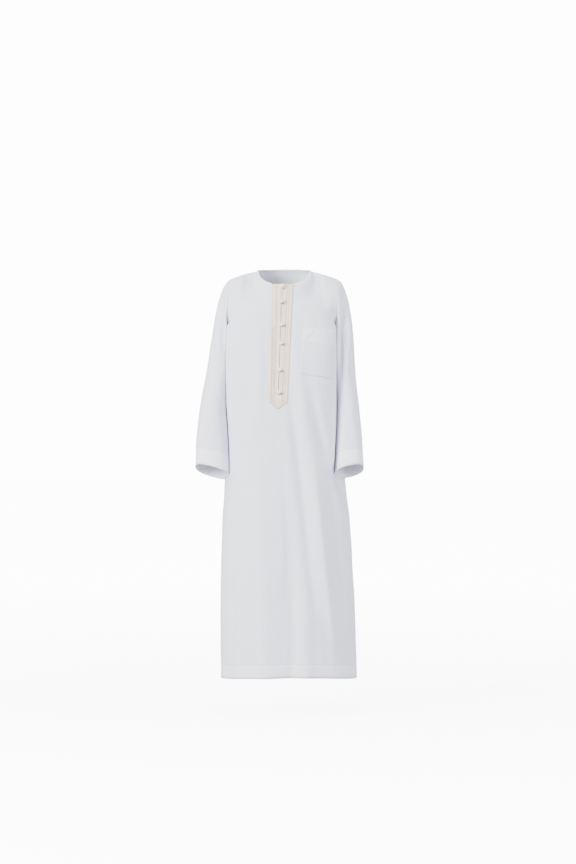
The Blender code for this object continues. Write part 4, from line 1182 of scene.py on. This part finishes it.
def placket_rows(skin):
    """Rows of the braid laid on the front with their painted shade and shadow; its edges turn down to the
    panel.
    """
    rows = []
    painted_shades = []
    top = NECK_FRONT[1] - PLACKET_TOP_STEP
    count = round((top - PLACKET_TIP_Z) / PLACKET_ROW_STEP)
    for step in range(count + 1):
        z = PLACKET_TIP_Z + (top - PLACKET_TIP_Z) * step / count
        middle = middle_x(z)
        slit = slit_half(z)
        half = max(placket_half(z), slit + PLACKET_LEAST)
        from_tip = (z - PLACKET_TIP_Z) / PLACKET_TIP_RISE
        row = []
        line = []
        for side in (-1.0, 1.0):
            places = [number / PLACKET_ACROSS for number in range(PLACKET_ACROSS + 1)]
            if side < 0.0:
                places.reverse()
            for share in places:
                x = middle + side * (slit + (half - slit) * share)
                height, painted_shade = braid(share, PLACKET_HALF_TOP, z, side)
                dent_and_shadow = knot_dent_and_painted_shadow(x, z)
                height -= KNOT_DENT_DEPTH * dent_and_shadow
                # painted shadow of the knot darkens the braid here
                painted_shade += (1.0 - painted_shade) * dent_and_shadow
                if z < PLACKET_CORNER_Z:
                    band = smooth_step((half - slit) * (1.0 - share) / PLACKET_TIP_BAND)
                    height = PLACKET_GROUND + (height - PLACKET_GROUND) * band
                if share == 1.0:
                    height = PLACKET_EDGE_HEIGHT
                height *= smooth_step(from_tip + PLACKET_TIP_START)
                row.append(on_front(skin, x, z, PLACKET_GAP + height))
                line.append(painted_shade)
        rows.append(row)
        painted_shades.append(line)
    reach = BINDING_WIDTH + PLACKET_TOP_STEP
    steps = round(reach / PLACKET_ROW_STEP)
    below = rows[-1 - PLACKET_SLOPE_ROWS]
    edge = rows[-1]
    for step in range(1, steps + 1):
        part = reach * step / steps
        rows.append([point + (point - lower).normalized() * part for point, lower in zip(edge, below)])
        painted_shades.append(list(painted_shades[-1]))
    return rows, painted_shades


def neck_path(front, back):
    """Neck edge of both panels, from the placket round the wearer's left and the back."""
    first = SHOULDER_COLUMNS
    half = SHOULDER_COLUMNS + NECK_COLUMNS["front"]
    front_right = front[-1][first:half + 1]
    front_left = front[-1][half + 1:len(front[-1]) - first]
    back_edge = back[-1][first:len(back[-1]) - first]
    edge = front_left + list(reversed(back_edge))[1:-1] + front_right
    limit = PLACKET_HALF_TOP - BINDING_SUNK
    middle = middle_x(NECK_FRONT[1])
    return [p for p in edge if p.y > NECK_SIDE_Y or abs(p.x - middle) > limit]


def binding_rows(path):
    """Rolled binding: a flat oval ring at each point of the neck edge."""
    rows = []
    travelled = 0.0
    last = path[0]
    for point in path:
        travelled += (point - last).length
        last = point
        way = neck_direction(point)
        inward = Vector((-point.x, -(point.y - NECK_SIDE_Y), 0.0)).normalized()
        out = Vector((-inward.x * way.z, -inward.y * way.z, inward.dot(way)))
        ripple = 1.0 + sum(size * math.sin(travelled * rate) for size, rate in BINDING_RIPPLES)
        ring = []
        for step in range(BINDING_RING):
            turn = 2.0 * math.pi * step / BINDING_RING
            reach = 0.5 * BINDING_WIDTH * (1.0 + power(math.cos(turn), BINDING_ROUND_ACROSS))
            rise = 0.5 * BINDING_WALL * ripple * power(math.sin(turn), BINDING_ROUND_UP)
            ring.append(point + way * (reach - BINDING_SET_BACK) + out * (rise - BINDING_SUNK))
        rows.append(ring)
    return rows


def pocket_point(t, s):
    """Place on the chest, as (x, z), at shares across and up the pocket."""
    low = Vector(POCKET_CORNERS["low_right"]).lerp(Vector(POCKET_CORNERS["low_left"]), t)
    top = Vector(POCKET_CORNERS["top_right"]).lerp(Vector(POCKET_CORNERS["top_left"]), t)
    return low.lerp(top, s)


def pocket_lift(t, s):
    """Height of the pocket's cloth over the panel."""
    edge = min(t, 1.0 - t)
    lift = POCKET_LIFT * smooth_step(min(edge / POCKET_SIDE_RISE, s / POCKET_LOW_RISE))
    opening = smooth_step((s - POCKET_GAPE_FROM) / (1.0 - POCKET_GAPE_FROM))
    lift += POCKET_GAPE * opening * math.sin(math.pi * t) ** POCKET_GAPE_ROUND
    from_hem = s - (1.0 - POCKET_HEM_SHARE)
    lift -= HEM_GROOVE * bell(from_hem, POCKET_HEM_WIDTH) * smooth_step(edge / POCKET_STITCH_INSET)
    for crease in POCKET_CREASES:
        away = t - crease.across - crease.slant * s
        lift += crease.height * bell(away, crease.width) * bell(s - crease.up, crease.reach)
    return max(POCKET_LEAST, lift)


def pocket_rows(skin):
    """Rows of the pocket from its low edge to its top edge."""
    rows = []
    for down in range(POCKET_DOWN + 1):
        s = down / POCKET_DOWN
        row = []
        for place in range(POCKET_ACROSS + 1):
            t = place / POCKET_ACROSS
            spot = pocket_point(t, s)
            row.append(on_front(skin, spot.x, spot.y, pocket_lift(t, s)))
        rows.append(row)
    return rows


def underlap_rows(skin):
    """Strip behind the slit, inside the front panel; its middle swells out where the slit is wide."""
    rows = []
    low = SLIT_END_Z - UNDERLAP_END_STEP
    top = NECK_FRONT[1] - UNDERLAP_TOP_STEP
    for step in range(UNDERLAP_ROWS + 1):
        z = low + (top - low) * step / UNDERLAP_ROWS
        slit = slit_half(z)
        wide = smooth_step((slit - SLIT_LOW_HALF) / (SLIT_TOP_HALF - SLIT_LOW_HALF) * UNDERLAP_WIDENS)
        for button in BUTTONS:
            wide *= 1.0 - UNDERLAP_PRESS * bell(z - button.z, UNDERLAP_PRESSED)
        row = []
        for part in range(UNDERLAP_COLUMNS + 1):
            away = (2.0 * part / UNDERLAP_COLUMNS - 1.0) * UNDERLAP_HALF
            x = middle_x(z) + away
            swell = UNDERLAP_SWELL * wide * bell(away, UNDERLAP_ROUND * slit)
            row.append(on_front(skin, x, z, swell - CLOTH_WALL - UNDERLAP_DEPTH))
        rows.append(row)
    return rows


def tube(work, path, normals, radius, sides, closed=False, lobes=0, pitch=1.0):
    """Tube round a path, added to a mesh; with lobes it looks laid from that many strands."""
    rings = []
    count = len(path)
    travelled = 0.0
    for index, point in enumerate(path):
        if closed:
            ahead = path[(index + 1) % count] - path[index - 1]
        else:
            ahead = path[min(count - 1, index + 1)] - path[max(0, index - 1)]
        ahead.normalize()
        up = (normals[index] - ahead * normals[index].dot(ahead)).normalized()
        side = ahead.cross(up)
        if index:
            travelled += (point - path[index - 1]).length
        ring = []
        for step in range(sides):
            turn = 2.0 * math.pi * step / sides
            size = radius
            if lobes:
                phase = lobes * turn + 2.0 * math.pi * travelled / pitch
                size *= 1.0 - CORD_GROOVE * (1.0 - abs(math.cos(0.5 * phase)))
            away = side * (size * math.cos(turn)) + up * (size * math.sin(turn))
            ring.append(work.verts.new(point + away))
        rings.append(ring)
    pairs = list(zip(rings, rings[1:]))
    if closed:
        pairs.append((rings[-1], rings[0]))
    for first, second in pairs:
        for step in range(sides):
            after = (step + 1) % sides
            face = work.faces.new([first[step], first[after], second[after], second[step]])
            face.smooth = True
    if not closed:
        work.faces.new(list(reversed(rings[0])))
        work.faces.new(rings[-1])


def finish_mesh(name, work):
    bmesh.ops.recalc_face_normals(work, faces=work.faces[:])
    mesh = bpy.data.meshes.new(name)
    work.to_mesh(mesh)
    work.free()
    return mesh


def knot_mesh(name, centre, tilt):
    """Knotted ball: one cord that weaves over and under itself round a core."""
    work = bmesh.new()
    path = []
    normals = []
    for step in range(KNOT_STEPS):
        turn = 2.0 * math.pi * step / KNOT_STEPS
        latitude = KNOT_REACH * math.cos(KNOT_BIGHTS * turn)
        longitude = KNOT_LEADS * turn + tilt
        way = Vector((
            math.cos(latitude) * math.cos(longitude),
            math.sin(latitude),
            math.cos(latitude) * math.sin(longitude),
        ))
        radius = BALL_RADIUS - KNOT_TUBE + KNOT_WEAVE * math.sin(2.0 * KNOT_BIGHTS * turn)
        path.append(centre + way * radius)
        normals.append(way)
    tube(work, path, normals, KNOT_TUBE, KNOT_SIDES, closed=True)
    core = bmesh.ops.create_icosphere(work, subdivisions=3, radius=BALL_RADIUS - KNOT_CORE * KNOT_TUBE)
    for vert in core["verts"]:
        vert.co += centre
    for face in work.faces:
        face.smooth = True
    return finish_mesh(name, work)


def cord_mesh(name, path, out):
    work = bmesh.new()
    normals = [out] * len(path)
    tube(work, path, normals, CORD_RADIUS, CORD_SIDES, lobes=CORD_STRANDS, pitch=CORD_PITCH)
    return finish_mesh(name, work)


def stitch_mesh(name, lines):
    """Row of short stitches along each line of (point, normal)."""
    work = bmesh.new()
    for line in lines:
        travelled = 0.0
        due = 0.5 * STITCH_PITCH
        for (a, normal), (b, ignored) in zip(line, line[1:]):
            length = (b - a).length
            while travelled + length > due:
                point = a.lerp(b, (due - travelled) / length)
                along = (b - a).normalized()
                half = along * (0.5 * STITCH_LENGTH)
                sink = normal * (STITCH_SUNK * STITCH_RADIUS)
                flat = half * STITCH_FLAT
                path = [point - half - sink, point - flat, point + flat, point + half - sink]
                tube(work, path, [normal] * len(path), STITCH_RADIUS, STITCH_SIDES)
                due += STITCH_PITCH
            travelled += length
    return finish_mesh(name, work)


class Nodes:
    """Short way of building a material's node tree."""

    def __init__(self, name, colour, roughness):
        self.material = bpy.data.materials.new(name)
        self.material.use_nodes = True
        self.tree = self.material.node_tree
        self.shader = self.tree.nodes["Principled BSDF"]
        self.shade("Base Color", colour)
        self.shade("Roughness", roughness)
        self.shade("Specular IOR Level", SPECULAR)

    def put(self, value, socket):
        """Link a value that comes from a node, or set a constant on the socket."""
        if isinstance(value, bpy.types.NodeSocket):
            self.tree.links.new(value, socket)
        else:
            socket.default_value = value

    def shade(self, name, value):
        """Give the shader one of its inputs."""
        self.put(value, self.shader.inputs[name])

    def add(self, kind, **inputs):
        node = self.tree.nodes.new(kind)
        for name, value in inputs.items():
            self.put(value, node.inputs[name])
        return node

    def math(self, operation, first, second):
        node = self.tree.nodes.new("ShaderNodeMath")
        node.operation = operation
        for socket, value in zip(node.inputs, (first, second)):
            self.put(value, socket)
        return node.outputs[0]

    def mix(self, factor, first, second):
        node = self.tree.nodes.new("ShaderNodeMix")
        node.data_type = "RGBA"
        sockets = {socket.identifier: socket for socket in node.inputs}
        self.put(factor, sockets["Factor_Float"])
        self.put(first, sockets["A_Color"])
        self.put(second, sockets["B_Color"])
        return next(s for s in node.outputs if s.identifier == "Result_Color")

    def bump(self, height, strength, distance):
        node = self.add("ShaderNodeBump", Height=height, Strength=strength, Distance=distance)
        self.shade("Normal", node.outputs[0])

    def place(self):
        """Place in the object's own space."""
        return self.tree.nodes.new("ShaderNodeTexCoord").outputs["Object"]

    def noise(self, scale, detail=2.0):
        node = self.add("ShaderNodeTexNoise", Vector=self.place(), Scale=scale, Detail=detail)
        return node.outputs["Fac"]

    def mark(self):
        """The number that the mesh carries: painted shade and shadow of the braid, or doubled cloth of a
        hem.
        """
        node = self.tree.nodes.new("ShaderNodeAttribute")
        node.attribute_name = "Mark"
        return node.outputs["Fac"]

    def weave(self, scale):
        """Height of a plain weave: threads across and along the cloth that pass over one another."""
        flat = self.tree.nodes.new("ShaderNodeUVMap")
        flat.uv_map = "Cloth"
        split = self.add("ShaderNodeSeparateXYZ", Vector=flat.outputs[0])
        waves = []
        for axis in ("X", "Y"):
            turn = self.math("MULTIPLY", split.outputs[axis], 2.0 * math.pi / scale)
            waves.append(self.math("SINE", turn, 0.0))
        over = self.math("MULTIPLY", waves[0], waves[1])
        return self.math("MULTIPLY_ADD", over, 0.5)


def cloth_material(name, look):
    nodes = Nodes(name, look.light, CLOTH_ROUGHNESS)
    nodes.shade("Sheen Weight", look.sheen)
    nodes.shade("Sheen Roughness", CLOTH_SHEEN_ROUGHNESS)
    threads = nodes.weave(look.weave)
    clouds = nodes.math("MULTIPLY_ADD", nodes.noise(CLOUD_SCALE), CLOUD_SHARE)
    tint = nodes.math("ADD", clouds, nodes.math("MULTIPLY", threads, THREAD_TINT))
    nodes.shade("Base Color", nodes.mix(nodes.mark(), nodes.mix(tint, look.light, look.shade), look.doubled))
    slubs = nodes.noise(SLUB_SCALE, FINE_DETAIL)
    nodes.bump(nodes.math("ADD", nodes.math("MULTIPLY", threads, THREAD_RELIEF), slubs), *CLOTH_BUMP)
    return nodes.material


def braid_material(name):
    nodes = Nodes(name, BRAID_LIGHT, BRAID_ROUGHNESS)
    nodes.shade("Sheen Weight", BRAID_SHEEN)
    yarn = nodes.noise(YARN_SCALE, FINE_DETAIL)
    base = nodes.mix(nodes.math("MULTIPLY", yarn, YARN_TINT), BRAID_LIGHT, BRAID_GROUND)
    # the marks paint shade into the braid's pits, grooves and gaps, and the knots' shadows onto it
    nodes.shade("Base Color", nodes.mix(nodes.mark(), base, BRAID_PAINTED_SHADE))
    threads = nodes.math("MULTIPLY", nodes.weave(BRAID_WEAVE), BRAID_RELIEF)
    nodes.bump(nodes.math("ADD", threads, yarn), *BRAID_BUMP)
    return nodes.material


def thread_material(name, light, shade):
    nodes = Nodes(name, light, THREAD_ROUGHNESS)
    nodes.shade("Sheen Weight", THREAD_SHEEN)
    fibre = nodes.noise(FIBRE_SCALE)
    nodes.shade("Base Color", nodes.mix(fibre, light, shade))
    nodes.bump(fibre, *THREAD_BUMP)
    return nodes.material


def floor_material():
    """Pale floor that glows more the farther it lies from the robe."""
    nodes = Nodes("Pale floor", FLOOR_LIGHT, FLOOR_ROUGHNESS)
    nodes.shade("Base Color", nodes.mix(nodes.noise(FLOOR_CLOUD_SCALE), FLOOR_LIGHT, FLOOR_SHADE))
    nodes.shade("Emission Color", WHITE)
    distance = nodes.tree.nodes.new("ShaderNodeVectorMath")
    distance.operation = "LENGTH"
    nodes.put(nodes.place(), distance.inputs[0])
    away = nodes.math("SUBTRACT", distance.outputs["Value"], FLOOR_GLOW_FROM)
    share = nodes.math("DIVIDE", away, FLOOR_GLOW_TO - FLOOR_GLOW_FROM)
    share = nodes.math("MINIMUM", nodes.math("MAXIMUM", share, 0.0), 1.0)
    glow = nodes.math("MULTIPLY", share, FLOOR_GLOW_FAR - FLOOR_GLOW_NEAR)
    nodes.shade("Emission Strength", nodes.math("ADD", glow, FLOOR_GLOW_NEAR))
    return nodes.material


def make_materials():
    return {
        "cloth": cloth_material("Thobe cloth", THOBE_LOOK),
        "bright": cloth_material("Binding cloth", BINDING_LOOK),
        "braid": braid_material("Placket braid"),
        "cord": thread_material("Button cord", *CORD_COLOURS),
        "thread": thread_material("Sewing thread", *STITCH_COLOURS),
    }


def make_floor():
    mesh = bpy.data.meshes.new("Floor")
    signs = ((-1, -1), (1, -1), (1, 1), (-1, 1))
    mesh.from_pydata([(x * FLOOR_HALF, y * FLOOR_HALF, FLOOR_Z) for x, y in signs], [], [(0, 1, 2, 3)])
    mesh.materials.append(floor_material())
    floor = bpy.data.objects.new("Floor", mesh)
    bpy.context.scene.collection.objects.link(floor)
    floor.visible_diffuse = False
    floor.visible_glossy = False


def make_world():
    """Even soft light from all round, in front of a white backdrop."""
    world = bpy.data.worlds.new("Studio")
    world.use_nodes = True
    tree = world.node_tree
    ambient = tree.nodes["Background"]
    backdrop = tree.nodes.new("ShaderNodeBackground")
    for node, colour, strength in ((ambient, AMBIENT_COLOUR, AMBIENT), (backdrop, WHITE, BACKDROP)):
        node.inputs["Color"].default_value = colour
        node.inputs["Strength"].default_value = strength
    seen = tree.nodes.new("ShaderNodeLightPath")
    mix = tree.nodes.new("ShaderNodeMixShader")
    tree.links.new(seen.outputs["Is Camera Ray"], mix.inputs["Fac"])
    tree.links.new(ambient.outputs[0], mix.inputs[1])
    tree.links.new(backdrop.outputs[0], mix.inputs[2])
    tree.links.new(mix.outputs[0], tree.nodes["World Output"].inputs["Surface"])
    bpy.context.scene.world = world


def make_lamps():
    for lamp in LAMPS:
        data = bpy.data.lights.new(lamp.name, "AREA")
        data.size = lamp.size
        data.energy = lamp.power
        data.color = lamp.colour
        light = bpy.data.objects.new(lamp.name, data)
        light.location = lamp.place
        aim = Vector(lamp.aim) - Vector(lamp.place)
        light.rotation_euler = aim.to_track_quat("-Z", "Y").to_euler()
        bpy.context.scene.collection.objects.link(light)


def make_camera():
    data = bpy.data.cameras.new("Camera")
    data.lens = CAMERA_LENS
    data.clip_end = CAMERA_REACH
    camera = bpy.data.objects.new("Camera", data)
    camera.location = CAMERA_PLACE
    camera.rotation_euler = (math.radians(90.0), 0.0, 0.0)
    bpy.context.scene.collection.objects.link(camera)
    bpy.context.scene.camera = camera


def loop_spots(x, button):
    """Places across the front along a cord loop: in over the button's middle, round it and out below."""
    steps = [x - button.loop * part / CORD_PARTS for part in range(CORD_PARTS + 1)]
    spots = [(px, button.z + LOOP_HALF_WIDTH) for px in reversed(steps)]
    for step in range(1, LOOP_BEND_STEPS):
        angle = math.pi * (0.5 - step / LOOP_BEND_STEPS)
        spots.append((x + LOOP_HALF_WIDTH * math.cos(angle), button.z + LOOP_HALF_WIDTH * math.sin(angle)))
    return spots + [(px, button.z - LOOP_HALF_WIDTH) for px in steps]


def add_buttons(skin, material):
    """Knotted balls over the placket with their loops and tails."""
    aside = 2.0 * SLIT_TOP_HALF

    def cord_point(spot):
        x, z = spot
        sideways = aside if abs(x - middle_x(z)) < aside else 0.0
        point = on_front(skin, x + sideways, z, CORD_LIFT)
        point.x = x
        return point

    ball_lift = CORD_LIFT + math.sqrt((BALL_RADIUS + CORD_RADIUS) ** 2 - LOOP_HALF_WIDTH ** 2)
    for number, button in enumerate(BUTTONS, start=1):
        x = middle_x(button.z) + button.shift
        centre = on_front(skin, x + aside, button.z, ball_lift)
        centre.x = x
        start = x + LOOP_HALF_WIDTH + CORD_RADIUS
        tail = [(start + button.tail * part / CORD_PARTS, button.z) for part in range(CORD_PARTS + 1)]
        name = f"knot_{number}"
        knot = knot_mesh(name, centre, KNOT_TURN * number)
        add_piece(name, knot, material, [f"button_{number}"])
        for part, spots in (("loop", loop_spots(x, button)), ("tail", tail)):
            name = f"cord_{part}_{number}"
            cord = cord_mesh(name, [cord_point(spot) for spot in spots], Vector((0.0, -1.0, 0.0)))
            add_piece(name, cord, material, [f"{part}_{number}"])


def add_cloth(name, rows, material, node, slot, **grid):
    """One piece of cloth from its grid of points."""
    return add_piece(name, grid_mesh(name, rows, **grid), material, [node])


def add_stitches(name, lines, material):
    return add_piece(name, stitch_mesh(name, lines), material)


def stitch_line(rows, row, sign, round_ring=False):
    """Line of sewing along one row of a grid, just over the cloth, with its outward directions."""
    normals = grid_normals(rows, round_ring=round_ring)[row]
    return [(p + n * (sign * STITCH_LIFT), n * sign) for p, n in zip(rows[row], normals)]


def row_above(levels, end, height):
    """Number of the row that lies nearest to a height above the end of the cloth."""
    return min(range(len(levels)), key=lambda n: abs(levels[n] - levels[end] - height))


def slit_of(rows):
    """Test for the faces that the open slit takes out of a grid on the front."""
    middle = len(rows[0]) // 2 - 1
    return lambda row, column: column == middle and rows[row][middle].z > SLIT_END_Z


def armholes(front, back):
    return {"right": armhole_loop(front, back, 0), "left": armhole_loop(front, back, -1)}


def add_panels(front, back, materials):
    hem_row = row_above([row[0].z for row in front], 0, HEM_DEPTH)
    panels = []
    for side, rows, grid in (("front", front, {"skip": slit_of(front)}), ("back", back, {"flip": True})):
        marks = row_marks(rows, 0, hem_row, HEM_MARK)
        panels.append(add_cloth(f"{side}_cloth", rows, materials["cloth"], side, "White cloth", marks=marks,
                                **grid))
        thicken(panels[-1], CLOTH_WALL)
    lines = [stitch_line(front, hem_row, 1.0), stitch_line(back, hem_row, -1.0)]
    stitches = add_stitches("hem_stitches", lines, materials["thread"])
    return panels[0], panels[1], stitches


def add_sleeves(loops, edges, skins, materials):
    sleeves = {}
    lines = []
    for arm, loop in loops.items():
        rows = finish_sleeve(press_troughs(sleeve_rows(arm, loop), arm), arm)
        clear_of_body(rows, arm, skins)
        rows[0] = edges[arm]
        hem_row = row_above([sum(point.z for point in row) / len(row) for row in rows], -1, CUFF_HEM)
        sleeves[arm] = add_cloth(f"sleeve_{arm}_cloth", rows, materials["cloth"], f"sleeve_{arm}",
                                 "White cloth", round_ring=True, flip=(arm == "right"),
                                 marks=row_marks(rows, hem_row, len(rows)))
        thicken(sleeves[arm], CLOTH_WALL)
        line = stitch_line(rows, hem_row, ARM_SIGN[arm], round_ring=True)
        lines.append(line + line[:1])
    return sleeves, add_stitches("cuff_stitches", lines, materials["thread"])


def add_pocket(skin, materials):
    hem = 1.0 - POCKET_HEM_SHARE
    rows = pocket_rows(skin)
    marks = row_marks(rows, round(hem * POCKET_DOWN), POCKET_DOWN)
    pocket = add_cloth("pocket_cloth", rows, materials["cloth"], "pocket", "White cloth", marks=marks)
    thicken(pocket, CLOTH_WALL)
    near, far = POCKET_STITCH_INSET, 1.0 - POCKET_STITCH_INSET
    lines = []
    for path in (((near, 1.0), (near, near), (far, near), (far, 1.0)), ((near, hem), (far, hem))):
        line = []
        for (t0, s0), (t1, s1) in zip(path, path[1:]):
            for step in range(POCKET_STITCH_STEPS + 1):
                t = t0 + (t1 - t0) * step / POCKET_STITCH_STEPS
                s = s0 + (s1 - s0) * step / POCKET_STITCH_STEPS
                spot = pocket_point(t, s)
                point = on_front(skin, spot.x, spot.y, pocket_lift(t, s) + STITCH_LIFT)
                line.append((point, (point - on_front(skin, spot.x, spot.y, 0.0)).normalized()))
        lines.append(line)
    return pocket, add_stitches("pocket_stitches", lines, materials["thread"])


def build():
    materials = make_materials()
    front = panel_rows("front", FRONT_FOLDS)
    back = panel_rows("back", BACK_FOLDS)
    loops = armholes(front, back)
    front = finish_panel(front, "front", FRONT_CREASES)
    back = finish_panel(back, "back", BACK_CREASES)
    close_seams(front, back)
    skin = skin_of(front)
    skins = [skin, skin_of(back, flip=True)]

    panel, back_panel, hem_stitches = add_panels(front, back, materials)
    sleeves, cuff_stitches = add_sleeves(loops, armholes(front, back), skins, materials)
    band, painted_shades = placket_rows(skin)
    placket = add_cloth("placket_braid", band, materials["braid"], "placket", "Placket braid",
                        skip=slit_of(band), marks=painted_shades)
    underlap = add_cloth("underlap_cloth", underlap_rows(skin), materials["bright"], "placket_underlap",
                         "Binding cloth")
    thicken(underlap, CLOTH_WALL)
    binding = add_cloth("neck_binding_cloth", binding_rows(neck_path(front, back)), materials["bright"],
                        "neck_binding", "Binding cloth", round_ring=True, flip=True)
    pocket, pocket_stitches = add_pocket(skin, materials)
    add_buttons(skin, materials["cord"])

    make_floor()
    make_world()
    make_lamps()
    make_camera()


build()
